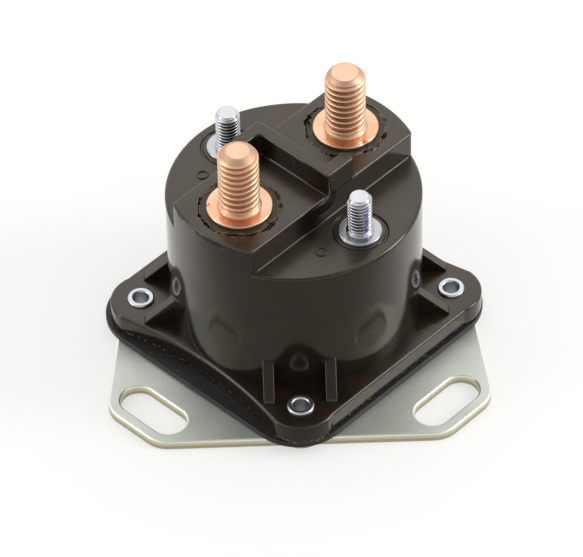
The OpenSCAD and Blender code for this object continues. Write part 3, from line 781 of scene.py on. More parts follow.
class RELAY_OT_housing(bpy.types.Operator):
    """Make the moulded housing: flange, ribs, drum, platform and barrier, with soft edges"""

    bl_idname = "relay.housing"
    bl_label = "Housing"

    body_r, cavity_r, half = 25.0, 22.0, 10.4
    flange_top, floor, barrier = 7.5, 36.2, 47.1
    main_patch, small_patch = 9.0, 6.2
    main_places = [np.array([side * MAIN_X, 0]) for side in (-1, 1)]
    web, arm = 1.35, 6.1  # the barrier's half thickness, and where its arms end
    sunk = 2.4  # how far the platform's block reaches down below the low floors
    ring_columns = 480  # round each torn ring; the platform's holes have as many

    def execute(self, context):
        edge = context.scene.relay_edges.moulding / MM
        torn, marks = zip(*(self.torn_ring(side) for side in (-1, 1)))
        diagonal = [
            *torn, *self.drum(), *self.platform_block(edge), *self.barrier_block(edge),
            *self.rings(),
        ]
        lean = spin(math.radians(45))
        shells = [moved(part, lean) for part in diagonal] + self.flange(edge) + self.ribs(edge)
        total = sum(len(part[0]) for part in shells)
        values = {}
        for key in ("crack", "lip"):
            numbers = np.concatenate([mark[key] for mark in marks])
            values[key] = np.pad(numbers, (0, total - len(numbers)))
        made = put("housing_moulding", shells, values, weld=True)
        place(made, moulding_finish(context.scene.relay_colours), "base", "phenolic", "housing")
        return {"FINISHED"}

    def flange(self, edge):
        """The flange, from its radius in each direction.

        That is the greatest of two crossed bars and four corner circles, and no more than the
        two great circles that hollow its sides.
        """
        middle, corner, straight, hollow = 21.07, 7.0, 27.8, 2.6
        foot_cut, eyelet_hole, columns = 0.22, 2.0, 1440
        angle = np.linspace(0, TURN, columns, endpoint=False)
        across = np.maximum(np.abs(np.cos(angle)), 1e-6)
        along = np.maximum(np.abs(np.sin(angle)), 1e-6)
        bars = [
            np.minimum(a / across, b / along) for a, b in ((middle, straight), (straight, middle))
        ]
        lead = middle * (across + along)
        square = lead ** 2 - 2 * middle ** 2 + corner ** 2
        circles = np.where(square > 0, lead + np.sqrt(np.maximum(square, 0)), 0)
        bow = (middle ** 2 + hollow ** 2) / (2 * hollow)
        centre = middle + corner - hollow + bow
        square = (centre * across) ** 2 - centre ** 2 + bow ** 2
        dip = np.where(square > 0, centre * across - np.sqrt(np.maximum(square, 0)), 1e3)
        reach = np.minimum(np.maximum.reduce([*bars, circles]), dip)
        turn = angle + math.radians(45)
        outline = reach[:, None] * np.column_stack([np.cos(turn), np.sin(turn)])
        holes = [circle(eyelet_hole, 64, centre) for centre in eyelet_places()]
        low, high = FLANGE_FOOT, self.flange_top
        rows = [(foot_cut, low), (0.06, low + 0.06), (0.0, low + foot_cut), (0.0, low + 0.5)]
        rows += [(0.0, high - edge - 0.25)] + quarter(0.0, high, edge)
        bore = circle(self.body_r - 1.2, 180)
        away = outward(outline)
        parts = [
            wall(outline, rows),
            cap([outline - edge * away, bore] + holes, high),
            cap([outline - foot_cut * away, bore] + holes, low, down=True),
        ]
        return parts + [wall(hole, [(0, high), (0, low)]) for hole in [bore] + holes]

    def drum(self):
        """The round body and its roof: one section carried round, and the two low floors."""
        r, rim, columns = self.body_r, 0.65, 720
        section = [(self.cavity_r, ROOF), (self.cavity_r, FLANGE_FOOT), (r, FLANGE_FOOT)]
        section += [(r, 12.0), (r, self.floor - rim - 0.25)]
        section += [(r - inset, z) for inset, z in quarter(0.0, self.floor, rim, 7)]
        notch_at, notch_width, notch_depth = math.radians(242), 0.012, 0.25

        def swell(angle, radius, z):
            """The rim wanders a little and has one small notch at the front."""
            share = np.clip((z - self.floor + rim) / (0.5 * rim), 0, 1)
            share = share * np.clip((self.floor - z) / 0.1, 0, 1)
            notch = np.exp(-((angle - notch_at) / notch_width) ** 2)
            wander = 0.05 * (1 + waves(angle, 7, 12, 3))
            return radius - share * (wander + notch_depth * notch), z

        small = [np.array([0, side * SMALL_Y]) for side in (-1, 1)]
        holes = [circle(MAIN_HOLE, 96, c) for c in self.main_places]
        patches = [circle(self.small_patch, 128, c) for c in small]
        bores = [circle(SMALL_HOLE, 128, c) for c in small]
        top = self.floor
        parts = [
            lathe(section, (0, 0), columns, "open", swell),
            cap([circle(r - rim, columns)] + patches + holes, top),
            cap([circle(self.cavity_r, columns)] + bores + holes, ROOF, down=True),
        ]
        bore = [(MAIN_HOLE, top), (MAIN_HOLE, ROOF)]
        parts += [lathe(bore, centre, 96) for centre in self.main_places]
        groove = rounded(
            [(self.small_patch, top), (5.62, top), (5.50, top - 0.34), (5.08, top - 0.34),
             (4.98, top), (SMALL_HOLE, top), (SMALL_HOLE, ROOF)],
            [0.14, 0.12, 0.12, 0.12, 0.08], 4,
        )
        return parts + [lathe(groove, centre, 128) for centre in small]

    def band(self):
        """The platform's outline: two straight walls joined by arcs of the body's circle."""
        reach, bend = self.body_r + 0.004, 0.8
        end = math.asin(self.half / reach)
        arc = np.linspace(-1, 1, 101) * (end - bend / reach)
        right = reach * np.column_stack([np.cos(arc), np.sin(arc)])
        corner = reach * np.array([math.cos(end), math.sin(end)])
        t = np.linspace(0, 1, 8)[:, None]
        far = corner - [bend, 0]
        turn = ((1 - t) ** 2 * right[-1] + 2 * t * (1 - t) * corner + t ** 2 * far)[1:]
        edge_x = np.linspace(far[0], -far[0], 121)[1:-1]
        upper = np.column_stack([edge_x, np.full(119, self.half)])
        half = np.concatenate([right, turn, upper, (turn * [-1, 1])[::-1]])
        return np.concatenate([half, -half])

    def flush(self, x, y):
        """1 along the spans of the platform's walls that the barrier carries on upwards."""
        x = np.where(y < 0, x, -x)
        fade = 0.5
        near, far = (x + self.web + fade) / fade, (self.arm + fade - x) / fade
        return np.clip(near, 0, 1) * np.clip(far, 0, 1)

    def platform_block(self, edge):
        """The platform, with holes for the torn rings.

        Its straight walls have a hollow foot on the low floors. Its curved ends run on from the
        body's wall, and a lip of flash wanders along under their edge. The edge isn't rounded
        where the barrier carries the wall on upwards.
        """
        outline = self.band()
        x, y = outline.T
        around = np.arctan2(y, x)
        straight = np.clip((24.3 - np.hypot(x, y)) / 0.6, 0, 1)
        level = np.where(np.abs(y) > self.half - 0.01, self.flush(x, y), 0)
        top_cut = (edge - 0.05) * (1 - level)
        flash = (1 - straight) * np.clip(waves(around, 31, 24, 5) + 0.35, 0, 1)
        flash = flash * np.clip((9.6 - np.abs(y)) / 1.5, 0, 1)
        low, top = self.floor - self.sunk, PLATFORM
        under = top - edge - 0.42 - 0.12 * waves(around, 32, 40, 9)
        rows = [(0, low), (0, self.floor - 1), (0, self.floor - 0.3)]
        rows += hollow_foot(0.26 * straight, self.floor)
        rows += [(0, under - 0.25), (0.03 * flash, under - 0.06), (-0.16 * flash, under)]
        rows += [(-0.10 * flash, top - edge - 0.05)] + quarter(0, top, top_cut, 5)
        rim = outline - top_cut[:, None] * outward(outline)
        patches = [circle(self.main_patch, self.ring_columns, c) for c in self.main_places]
        holes = [circle(MAIN_HOLE, self.ring_columns, c) for c in self.main_places]
        return [wall(outline, rows), cap([rim] + patches, top), cap([outline] + holes, low, True)]

    def torn_ring(self, side):
        """The floor round a main stud: a ragged crack with torn lips, a low land and the hole.

        The crack's place, its width and the lips' height are sums of sines round the turn, cut
        off below zero, so that the ring breaks up into torn lengths. The spots (direction in
        degrees, extra width in mm, spread in degrees) widen it, and the flaps (direction,
        spread) raise its inner lip. The second value gives each point's share of crack and lip.
        """
        top, seed = PLATFORM, side + 1
        radii = np.concatenate([
            [self.main_patch], np.linspace(8.9, 6.9, 49), [6.8, MAIN_HOLE, MAIN_HOLE],
        ])
        heights = np.full(len(radii), top)
        heights[-1] = self.floor - self.sunk
        spots = {
            -1: [(-94, 0.34, 7), (-73, 0.16, 3), (-25, 0.12, 14), (-126, 0.10, 20), (170, 0.08, 8)],
            1: [(-150, 0.10, 12), (120, 0.07, 16), (-60, 0.12, 6), (30, 0.06, 9)],
        }[side]
        flaps = {-1: [(15, 12), (-50, 12)], 1: [(-35, 26), (-122, 20), (115, 12)]}[side]
        lag = self.ring_columns // 15  # columns by which the outer lip lags the inner one
        marks = {}

        def bell(angle, at, spread):
            """A bell curve round a direction, with its spread in degrees."""
            return np.exp(-(turned_past(angle, at) / math.radians(spread)) ** 2)

        def swell(angle, r, z):
            crack_at = 7.85 + 0.24 * waves(angle, seed, 10, 1)
            crack_at = crack_at + 0.09 * waves(angle, seed + 20, 30, 24)
            wander = waves(angle, seed + 40, 14, 2) + 0.5 * waves(angle, seed + 45, 30, 18)
            wide = 0.07 + 0.28 * np.maximum(0, wander + 0.15)
            ragged = 1 + 0.5 * waves(angle, seed + 50, 30, 20)
            for at, size, spread in spots:
                wide = wide + size * ragged * bell(angle, at, spread)
            crack = np.exp(-(np.abs(r - crack_at) / wide) ** 4)
            fades = 0.6 + 1.1 * waves(angle, seed + 80, 5, 1) + 2.5 * (wide - 0.15)
            crack = crack * np.clip(fades, 0.12, 1)
            torn = 0.30 + waves(angle, seed + 60, 14, 2) + 0.5 * waves(angle, seed + 70, 40, 30)
            ragged = 0.75 + 0.5 * waves(angle, seed + 75, 30, 20)
            for at, spread in flaps:
                torn = np.maximum(torn, ragged * bell(angle, at, spread))
            torn = np.clip(torn, 0, 1)
            lip = torn * np.exp(-((r - crack_at + wide + 0.17) / (0.17 + 0.09 * torn)) ** 2)
            outer = np.exp(-((r - crack_at - wide - 0.08) / 0.10) ** 2)
            lip = lip + 0.7 * np.roll(torn, lag, axis=1) * outer
            edge = np.clip((self.main_patch - r) / 0.15, 0, 1) * (r > MAIN_HOLE + 0.5)
            land = np.clip((crack_at - r) / 0.2, 0, 1)
            # crack marks painted shade on the crack and half of the land; lip marks a painted
            # highlight on the lips.
            marks["crack"] = (edge * np.maximum(crack, 0.5 * land)).ravel()
            marks["lip"] = (edge * lip * (1 - crack)).ravel()
            return r, z + edge * (0.24 * lip - 0.65 * crack - 0.07 * land)

        profile = np.column_stack([radii, heights])
        centre = (side * MAIN_X, 0)
        return lathe(profile, centre, self.ring_columns, "open", swell), marks

    def barrier_block(self, edge):
        """The Z-shaped barrier: its outline carried up from a hollow foot to rounded edges."""
        h, t, arm, inner = self.half, self.web, self.arm, 7.7
        lower = [(-t, -h), (arm, -h), (arm, -inner), (t, -inner)]
        corners = lower + [(-x, -y) for x, y in lower]
        outline = dense_loop(rounded_ring(corners, [0.58, 0.58, 0.58, 1.3] * 2, 7), 0.5)
        y = outline[:, 1]
        free = np.clip((h - 0.02 - np.abs(y)) / 0.45, 0, 1)
        base, top = PLATFORM, self.barrier
        rows = [(0, base - 0.3)] + hollow_foot(0.26 * free, base)
        rows += [(0, top - edge - 0.25)] + quarter(0, top, edge * 0.76, 5)
        return [
            wall(outline, rows), cap([outline - edge * 0.76 * outward(outline)], top),
            cap([outline], base - 0.3, down=True),
        ]

    def rings(self):
        """A blank raised ring beside each small stud: a rounded section carried round."""
        low = self.floor - 0.1
        section = rounded_ring(
            [(0.88, low), (1.27, low), (1.25, low + 0.34), (0.90, low + 0.34)], [0, 0, 0.1, 0.1], 4,
        )
        return [lathe(section, (-9.0, side * 15.8), 48, "joined") for side in (-1, 1)]

    def ribs(self, edge):
        """Eight triangular ribs: an upright outline carried across the rib's thickness."""
        root, bend, tip, base, thick, away = 22.4, 23.8, 30.1, self.flange_top, 2.2, 6.05
        meet = math.sqrt(self.body_r ** 2 - away ** 2)
        crest = base + 0.4 + (6 - 0.4) / (tip - meet) * (tip - bend)
        corners = [
            (root, base - 2), (tip, base - 2), (tip, base + 0.4), (bend, crest), (root, crest),
        ]
        outline = dense_loop(rounded_ring(corners, [0, 0, 0.5, 0, 0], 5), 0.7)
        cut = edge * 0.5
        over = quarter(0, thick, cut)
        rows = [(inset, thick - z) for inset, z in over][::-1] + over
        rim = outline - cut * outward(outline)
        parts = [wall(outline, rows), cap([rim], thick), cap([rim], 0, down=True)]
        upright = np.array([[1, 0, 0], [0, 0, -1], [0, 1, 0]])
        made = []
        for turn in (spin(k * TURN / 4) for k in range(4)):
            for side in (-1, 1):
                shift = turn @ np.array([0, side * away + thick / 2, 0])
                made += [moved(part, turn @ upright, shift) for part in parts]
        return made


class RELAY_OT_gasket(bpy.types.Operator):
    """Make the rubber gasket"""

    bl_idname = "relay.gasket"
    bl_label = "Gasket"

    def execute(self, context):
        made = merged_copy("gasket", "gasket_rubber")
        middle, angle = edge_table(made.data)
        outer = np.hypot(middle[:, 0], middle[:, 1]) > 23
        weights = np.where((angle > 30) & outer, 1.0, 0.0)
        round_edges(made, context.scene.relay_edges.gasket, angle, weights, 2)
        place(made, rubber_finish(context.scene.relay_colours), "base", "rubber", "gasket")
        return {"FINISHED"}


class RELAY_OT_plate(bpy.types.Operator):
    """Make the steel mounting plate with its rolled-over cut edges"""

    bl_idname = "relay.plate"
    bl_label = "Mounting plate"

    def execute(self, context):
        made = merged_copy("mounting_plate", "plate_pressing")
        middle, angle = edge_table(made.data)
        height, sharp = middle[:, 2], angle > 30
        weights = np.where(sharp & (height > 1.9), 1.0, 0.0)
        weights += np.where(sharp & (height < 0.02), 0.3, 0.0)
        for centre in eyelet_places():
            weights[np.hypot(*(middle[:, :2] - centre).T) < 3.0] = 0.0
        round_edges(made, context.scene.relay_edges.plate, angle, weights, 4)
        place(made, plate_finish(context.scene.relay_colours), "base", "zinc", "mounting_plate")
        return {"FINISHED"}


class RELAY_OT_eyelets(bpy.types.Operator):
    """Make the four eyelets, each with its rolled rim"""

    bl_idname = "relay.eyelets"
    bl_label = "Eyelets"

    def execute(self, context):
        top = top_of("eyelets")
        section = rounded_ring(
            [(1.55, 0.0), (2.55, 0.0), (1.95, 0.70), (1.95, top - 0.62), (2.68, top - 0.62),
             (2.72, top - 0.02), (1.55, top - 0.02)],
            [0.1, 0.1, 0.1, 0.05, 0.08, 0.50, 0.52], 8,
        )
        shells = []
        for seed, centre in enumerate(eyelet_places()):

            def swell(angle, r, z, seed=seed):
                """The rolled rim wanders a little in width and in height."""
                lip = np.clip((z - (top - 0.5)) / 0.5, 0, 1)
                low = 0.015 * lip * (1 + waves(angle, 50 + seed, 4, 2))
                return r + 0.02 * lip * waves(angle, 40 + seed, 5, 2), z - low

            shells.append(lathe(section, centre, 96, "joined", swell))
        # Painted shade inside each eyelet's tube, below its rolled rim.
        tube_shade = np.concatenate([part[0][:, 2] < top - 0.9 for part in shells])
        made = put("eyelet_rims", shells, {"root": tube_shade * 0.6})
        material = zinc_finish(context.scene.relay_colours, "zinc_eyelets", 0.26)
        place(made, material, "base", "zinc", "eyelets")
        return {"FINISHED"}


def stud_shells(node, seat, start_turn, *, radius, pitch, depth, columns, below, tip, cuts):
    """A threaded stud on its node's axis, and how deep each vertex lies in the thread.

    The shank's radius follows a rounded 60 degree thread, a helix: a triangle wave of height
    less the lead's share of the angle, broad at its crests. Under it a bead stands on the
    collar, with a narrow groove between, and the thread is held under a cone below the tip,
    whose points are given as (radius, depth below the top).
    """
    top, land = top_of(node), 0.5
    foot = rounded(
        below + [
            (radius + 0.20, seat - 0.02), (radius + 0.28, seat + 0.01),
            (radius + 0.10, seat + 0.05), (radius + 0.08, seat + 0.5 * land),
            (radius - 0.12, seat + 0.75 * land), (radius - 0.3, seat + land),
        ],
        [0.15] * (len(below) - 1) + [0, 0, 0.02, 0.03, 0.1, 0.05], 4,
    )
    start = top - tip[0][1]
    rows = max(8, int(round((start - seat - land) / pitch * ROWS_A_TURN)))
    heights = np.linspace(seat + land, start, rows)[1:]
    shank = np.stack([np.full(len(heights), radius), heights], axis=1)
    end = rounded([(r, top - drop) for r, drop in tip], cuts, 5)[1:]
    profile = np.concatenate([foot, shank, end])
    span = slice(len(foot), len(foot) + len(shank))
    sunk = np.zeros((len(profile), columns))

    def swell(angle, r, z):
        r, z = r.copy(), z.copy()
        above = z[span] - seat - land
        phase = above / pitch - angle / TURN + start_turn
        wave = np.abs(2 * (phase - np.floor(phase)) - 1)
        tooth = np.clip((wave - 0.06) / 0.62, 0, 1)
        tooth = 0.4 * tooth + 0.6 * tooth * tooth * (3 - 2 * tooth)
        groove = 0.85 * np.exp(-(above / (0.16 * pitch)) ** 2)
        cut = depth * np.maximum(groove, (1 - tooth) * np.clip(above / (0.5 * pitch), 0, 1))
        cone = tip[0][0] + 0.9 * (start - z[span])
        r[span] = np.minimum(radius - cut, np.maximum(cone - 0.4 * cut, tip[0][0] - 0.4 * cut))
        sunk[span] = (radius - r[span]) / depth * np.clip((cone - radius) / 0.3 + 1, 0, 1)
        return r, z

    part = lathe(profile, middle_of(node), columns, "fans", swell)
    return part, np.concatenate([np.clip(sunk, 0, 1).ravel(), [0, 0]])


class RELAY_OT_main_studs(bpy.types.Operator):
    """Make the two copper studs with their threads, and their collars"""

    bl_idname = "relay.main_studs"
    bl_label = "Main studs"

    def execute(self, context):
        threads = context.scene.relay_threads
        material = copper_finish(context.scene.relay_colours)
        smooth = copper_finish(context.scene.relay_colours, "copper_collars", 0.22)
        for side, start_turn, disc in (("left", 0.81, 2.35), ("right", 0.38, 2.7)):
            node = f"main_stud_{side}"
            seat, foot = top_of(f"main_collar_{side}"), foot_of(node)
            below = [(0.3, foot), (5.2, foot), (5.2, ROOF - 0.02), (4.17, ROOF)]
            tip = [(3.58, 0.95), (3.42, 0.70), (disc + 0.12, 0.08), (disc - 0.1, 0), (0.25, 0)]
            part, sunk = stud_shells(
                node, seat, start_turn, radius=3.97, pitch=threads.main_pitch / MM,
                depth=threads.main_depth / MM, columns=160, below=below, tip=tip,
                cuts=[0.2, 0.2, 0.12],
            )
            made = put(f"copper_stud_{side}", [part], {"root": sunk})
            place(made, material, "base", "stud_copper", node)
            self.collar(side, seat, smooth)
        return {"FINISHED"}

    @staticmethod
    def collar(side, seat, material):
        """A flat washer with a soft rim, a dent at one angle and a small pit inside it."""
        node = f"main_collar_{side}"
        outer, foot = radius_of(node), foot_of(node)
        section = dense_loop(rounded_ring(
            [(MAIN_HOLE, foot), (outer, foot), (outer, seat - 0.18),
             (outer - 0.16, seat - 0.04), (5.7, seat), (MAIN_HOLE, seat)],
            [0.04, 0.12, 0.10, 0.08, 0.15, 0.08], 5,
        ), 0.2)
        at, spread = {"left": (178, 0.05), "right": (-58, 0.12)}[side]

        def swell(angle, r, z):
            rim = np.clip((r - 5.4) / (outer - 5.4), 0, 1)
            gap = turned_past(angle, at)
            dent = 0.16 * np.exp(-(gap / spread) ** 2)
            pit = 0.30 * np.exp(-(gap / (0.7 * spread)) ** 2 - ((r - 5.8) / 0.22) ** 2)
            wander = 0.02 * waves(angle, 70, 7, 2)
            return r - rim * (dent + wander), z - (z > foot + 0.3) * (rim * dent + pit)

        made = put(f"copper_collar_{side}", [lathe(section, middle_of(node), 256, "joined", swell)])
        place(made, material, "base", "stud_copper", node)


class RELAY_OT_small_studs(bpy.types.Operator):
    """Make the two plated studs with their threads, and their collars"""

    bl_idname = "relay.small_studs"
    bl_label = "Small studs"

    def execute(self, context):
        threads = context.scene.relay_threads
        material = zinc_finish(context.scene.relay_colours)
        dull = zinc_finish(context.scene.relay_colours, "zinc_collars", 0.20)
        for name, start_turn in (("start", 0.87), ("ignition", 0.5)):
            node = f"{name}_stud"
            seat, foot = top_of(f"{name}_collar"), foot_of(node)
            head = foot + 1.2
            below = [
                (0.25, foot), (1.2, foot), (1.2, head), (3.6, head), (3.6, ROOF - 0.02),
                (2.61, ROOF),
            ]
            tip = [(2.16, 0.50), (2.06, 0.28), (1.86, 0.03), (1.7, 0), (0.25, 0)]
            part, sunk = stud_shells(
                node, seat, start_turn, radius=2.41, pitch=threads.small_pitch / MM,
                depth=threads.small_depth / MM, columns=128, below=below, tip=tip,
                cuts=[0.08, 0.12, 0.06],
            )
            paint = self.mark(part[0], middle_of(node), name == "start")
            made = put(f"plated_stud_{name}", [part], {"root": sunk, "paint": paint})
            place(made, material, "base", "zinc", node)
            self.collar(name, seat, dull)
        return {"FINISHED"}

    @staticmethod
    def mark(points, centre, marked):
        """1 in an upright band on the start stud's front-right side, where it was paint marked."""
        low, high, facing, spread = 37.6, 44.6, math.radians(-58), math.radians(17)
        angle = np.arctan2(points[:, 1] - centre[1], points[:, 0] - centre[0])
        band = np.clip(1.35 - np.abs(angle - facing) / spread, 0, 1)
        z = points[:, 2]
        tall = np.clip((z - low) / 0.6, 0, 1) * np.clip((high - z) / 0.5, 0, 1)
        return band * tall * float(marked)

    @staticmethod
    def collar(name, seat, material):
        """A flat washer with soft edges."""
        node = f"{name}_collar"
        outer, foot = radius_of(node), foot_of(node)
        section = rounded_ring(
            [(SMALL_HOLE, foot), (outer, foot), (outer, seat - 0.2), (outer - 0.35, seat),
             (SMALL_HOLE, seat)],
            [0.04, 0.1, 0.12, 0.15, 0.06], 5,
        )
        part = lathe(section, middle_of(node), 128, "joined")
        # Half the root value darkens the whole collar evenly.
        made = put(f"plated_collar_{name}", [part], {"root": np.full(len(part[0]), 0.50)})
        place(made, material, "base", "zinc", node)


class RELAY_OT_magnet(bpy.types.Operator):
    """Finish the magnet's parts and wind its coil"""

    bl_idname = "relay.magnet"
    bl_label = "Magnet"

    def execute(self, context):
        steel, brass, nylon, fibre = (plain_finish(*look) for look in (
            ("steel_plated", (0.58, 0.59, 0.60), (0.42, 0.42, 0.41), 1.0, 0.30, 0.3, 0.02),
            ("brass", (0.80, 0.60, 0.28), (0.62, 0.42, 0.16), 1.0, 0.25, 0.3, 0.01),
            ("nylon", (0.74, 0.70, 0.58), (0.66, 0.60, 0.46), 0.0, 0.42, 0.25, 0.03),
            ("fibre", (0.30, 0.16, 0.08), (0.20, 0.10, 0.05), 0.0, 0.6, 0.5, 0.05, (1, 1, 5)),
        ))
        wire = wire_finish()
        dress(steel, "yoke", "pole_plate")
        dress(brass, "guide_tube", "solder_tag")
        dress(nylon, "coil_former")
        dress(fibre, "bumper", "coil_tape")
        dress(wire, "coil_lead", "ground_lead")
        self.winding(wire)
        return {"FINISHED"}

    @staticmethod
    def winding(wire):
        """Turns of wire side by side: a rounded ridge for each turn on a closed section."""
        node = "coil_winding"
        foot, top, inner, outer = foot_of(node), top_of(node), 6.78, radius_of(node)
        turns, ridge = 28, 0.16
        rows = turns * 6 + 1
        dips = ridge * (1 - np.abs(np.sin(np.linspace(0, turns * math.pi, rows))))
        ridges = np.stack([outer - dips, np.linspace(foot, top, rows)], axis=1)
        section = np.concatenate([[(inner, foot)], ridges, [(inner, top)]])
        made = put("wound_coil", [lathe(section, (0, 0), 96, "joined")])
        place(made, wire, "base", "enamel", node)


class RELAY_OT_armature(bpy.types.Operator):
    """Finish the plunger, rod and moving contact"""

    bl_idname = "relay.armature"
    bl_label = "Armature and contact"

    def execute(self, context):
        steel, fibre, copper = (plain_finish(*look) for look in (
            ("steel_turned", (0.6, 0.6, 0.61), (0.46, 0.46, 0.46), 1, 0.26, 0.3, 0.015, (1, 1, 8)),
            ("fibre_bush", (0.26, 0.15, 0.08), (0.17, 0.10, 0.05), 0.0, 0.6, 0.5, 0.04),
            ("copper_contact", (0.90, 0.50, 0.31), (0.62, 0.28, 0.15), 1.0, 0.30, 0.35, 0.02),
        ))
        dress(steel, "plunger", "push_rod", "spring_seat", "rod_clip")
        dress(fibre, "disc_bush", "disc_washer")
        dress(copper, "contact_disc", "contact_finger")
        return {"FINISHED"}


class RELAY_OT_springs(bpy.types.Operator):
    """Wind the return spring and the contact spring"""

    bl_idname = "relay.springs"
    bl_label = "Springs"

    def execute(self, context):
        wire = plain_finish(
            "spring_wire", (0.52, 0.52, 0.53), (0.36, 0.36, 0.37), 1.0, 0.28, 0.6, 0.02,
        )
        for spring in (
            ("return_spring", "return_coil", 7, True, "base", "armature_slide", 8.2 / 11.2),
            ("contact_spring", "contact_coil", 3, False, "armature", "bridge_slide", 0.8),
        ):
            self.wind(*spring, wire)
        return {"FINISHED"}

    @staticmethod
    def wind(node, name, turns, from_top, body, joint, keep, material):
        """A wire along a helix, whose end turns close up."""
        foot, top = foot_of(node), top_of(node)
        wire, mean = 0.3, 2.3
        t = np.linspace(0, 1, turns * 36 + 1)
        climb = t - 0.32 / TURN * np.sin(TURN * t)
        path = np.stack([
            mean * np.cos(TURN * turns * t), mean * np.sin(TURN * turns * t),
            foot + wire + (top - foot - 2 * wire) * climb,
        ], axis=1)
        made = put(name, [tube(path, wire, 12)])
        place(made, material, body, "inner_steel", node)
        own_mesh(made)


# ---------------------------------------------------------------- stage


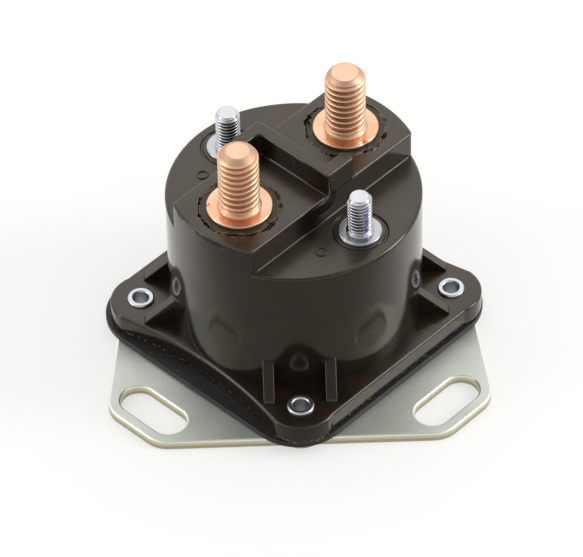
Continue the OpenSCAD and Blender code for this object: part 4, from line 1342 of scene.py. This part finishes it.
class RELAY_OT_stage(bpy.types.Operator):
    """Set the camera, the pale floor and the soft studio light"""

    bl_idname = "relay.stage"
    bl_label = "Stage"

    def execute(self, context):
        settings = context.scene.relay_stage
        self.camera(context, settings)
        self.floor()
        self.world(context, settings)
        for name, at, height, size, power in (
            ("key_light", (-0.12, 0.62, 0.80), 0.02, (1.3, 0.9), settings.key),
            ("left_light", (-0.85, -0.10, 0.35), 0.03, (0.25, 0.7), settings.side * 0.55),
            ("right_light", (0.85, -0.05, 0.38), 0.03, (0.3, 0.7), settings.side * 1.4),
        ):
            self.light(name, at, (0, 0, height), size, power)
        context.scene.view_settings.view_transform = "Standard"
        return {"FINISHED"}

    @staticmethod
    def camera(context, settings):
        """The camera that took the photograph: fitted to the eyelets and the studs."""
        azimuth, elevation = math.radians(settings.azimuth), math.radians(settings.elevation)
        roll = math.radians(settings.roll)
        target = Vector((-0.82, 0, 11.79)) * MM
        back = Vector((
            math.sin(azimuth) * math.cos(elevation), -math.cos(azimuth) * math.cos(elevation),
            math.sin(elevation),
        ))
        right = Vector((math.cos(azimuth), math.sin(azimuth), 0))
        up = back.cross(right)
        rolled = math.cos(roll) * right + math.sin(roll) * up
        upright = math.cos(roll) * up - math.sin(roll) * right
        data = bpy.data.cameras.new("photo_camera")
        data.sensor_width = 36
        data.sensor_fit = "HORIZONTAL"
        data.lens = settings.lens
        data.clip_start, data.clip_end = 0.01, 20
        made = bpy.data.objects.new("photo_camera", data)
        turned = Matrix((rolled, upright, back)).transposed().to_4x4()
        made.matrix_world = Matrix.Translation(target + back * settings.distance) @ turned
        context.scene.collection.objects.link(made)
        context.scene.camera = made

    @staticmethod
    def floor():
        """A wide pale floor just under the plate.

        It shows white and keeps the shadow. Glossy pieces mirror it as a glow that darkens from
        behind the part to ahead of it.
        """
        half, z = 6.0, -0.02 * MM
        mesh = bpy.data.meshes.new("floor")
        corners = [(-half, -half, z), (half, -half, z), (half, half, z), (-half, half, z)]
        mesh.from_pydata(corners, [], [(0, 1, 2, 3)])
        made = bpy.data.objects.new("floor", mesh)
        bpy.context.scene.collection.objects.link(made)
        f = Finish("floor_paper")
        path = f.node("ShaderNodeLightPath").outputs
        seen = Wire(f, path["Is Camera Ray"]).math("MAXIMUM", Wire(f, path["Is Transmission Ray"]))
        ahead = f.mix(f.y.ramp(4, -46), (1.10, 1.09, 1.03), (0.43, 0.425, 0.40))
        look = f.node("ShaderNodeBsdfDiffuse", None, (0.88, 0.88, 0.86, 1))
        for share, glow in (
            (seen * 0.55, (1, 1, 0.985, 1)), (Wire(f, path["Is Glossy Ray"]) * 0.9, ahead),
        ):
            glow = f.node("ShaderNodeEmission", None, glow, 1.0)
            outputs = look.outputs[0], glow.outputs[0]
            look = f.node("ShaderNodeMixShader", None, share, *outputs)
        f.feed(f.output.inputs["Surface"], look.outputs[0])
        mesh.materials.append(f.material)

    @staticmethod
    def world(context, settings):
        """Even light from all round, dim high up ahead of the part, and white to the camera."""
        world = bpy.data.worlds.new("studio")
        context.scene.world = world
        w = Tree(world)
        way = w.node("ShaderNodeTexCoord").outputs["Generated"]
        dot = {"operation": "DOT_PRODUCT"}
        ahead = w.node("ShaderNodeVectorMath", dot, way, (0, -0.45, 0.89)).outputs["Value"]
        low, high = settings.room * 0.3, settings.room * 1.1
        light = w.node("ShaderNodeMapRange", None, ahead, 0.97, 0.76, low, high).outputs[0]
        seen = w.node("ShaderNodeLightPath").outputs["Is Camera Ray"]
        strength = w.node("ShaderNodeMapRange", None, seen, 0.0, 1.0, light, 1.0).outputs[0]
        sky = w.node("ShaderNodeBackground", None, (1, 1, 0.99, 1), strength)
        w.node("ShaderNodeOutputWorld", None, sky.outputs[0])

    @staticmethod
    def light(name, at, to, size, power):
        """A rectangular soft light that faces a point."""
        data = bpy.data.lights.new(name, "AREA")
        data.shape = "RECTANGLE"
        data.size, data.size_y = size
        data.energy = power
        made = bpy.data.objects.new(name, data)
        facing = (Vector(to) - Vector(at)).to_track_quat("-Z", "Y").to_matrix().to_4x4()
        made.matrix_world = Matrix.Translation(at) @ facing
        bpy.context.scene.collection.objects.link(made)


class RELAY_PT_panel(bpy.types.Panel):
    """Lists the relay's settings and pieces"""

    bl_idname = "RELAY_PT_panel"
    bl_label = "Starter relay"
    bl_space_type = "VIEW_3D"
    bl_region_type = "UI"
    bl_category = "Relay"

    def draw(self, context):
        layout = self.layout
        for key in SETTINGS:
            group = getattr(context.scene, key)
            box = layout.box()
            for name in group.bl_rna.properties.keys():
                if name not in ("rna_type", "name"):
                    box.prop(group, name)
        for operator in OPERATORS:
            layout.operator(operator.bl_idname)


SETTINGS = {
    "relay_colours": RelayColours,
    "relay_edges": RelayEdges,
    "relay_threads": RelayThreads,
    "relay_stage": RelayStage,
}
OPERATORS = (
    RELAY_OT_stage, RELAY_OT_plate, RELAY_OT_gasket, RELAY_OT_housing,
    RELAY_OT_eyelets, RELAY_OT_main_studs, RELAY_OT_small_studs, RELAY_OT_magnet,
    RELAY_OT_armature, RELAY_OT_springs,
)


def register():
    for cls in (*SETTINGS.values(), *OPERATORS, RELAY_PT_panel):
        bpy.utils.register_class(cls)
    for key, cls in SETTINGS.items():
        setattr(bpy.types.Scene, key, PointerProperty(type=cls))


def unregister():
    for key in SETTINGS:
        delattr(bpy.types.Scene, key)
    for cls in reversed((*SETTINGS.values(), *OPERATORS, RELAY_PT_panel)):
        bpy.utils.unregister_class(cls)


def main():
    register()
    for operator in OPERATORS:
        group, name = operator.bl_idname.split(".")
        getattr(getattr(bpy.ops, group), name)()


if __name__ == "__main__":
    main()
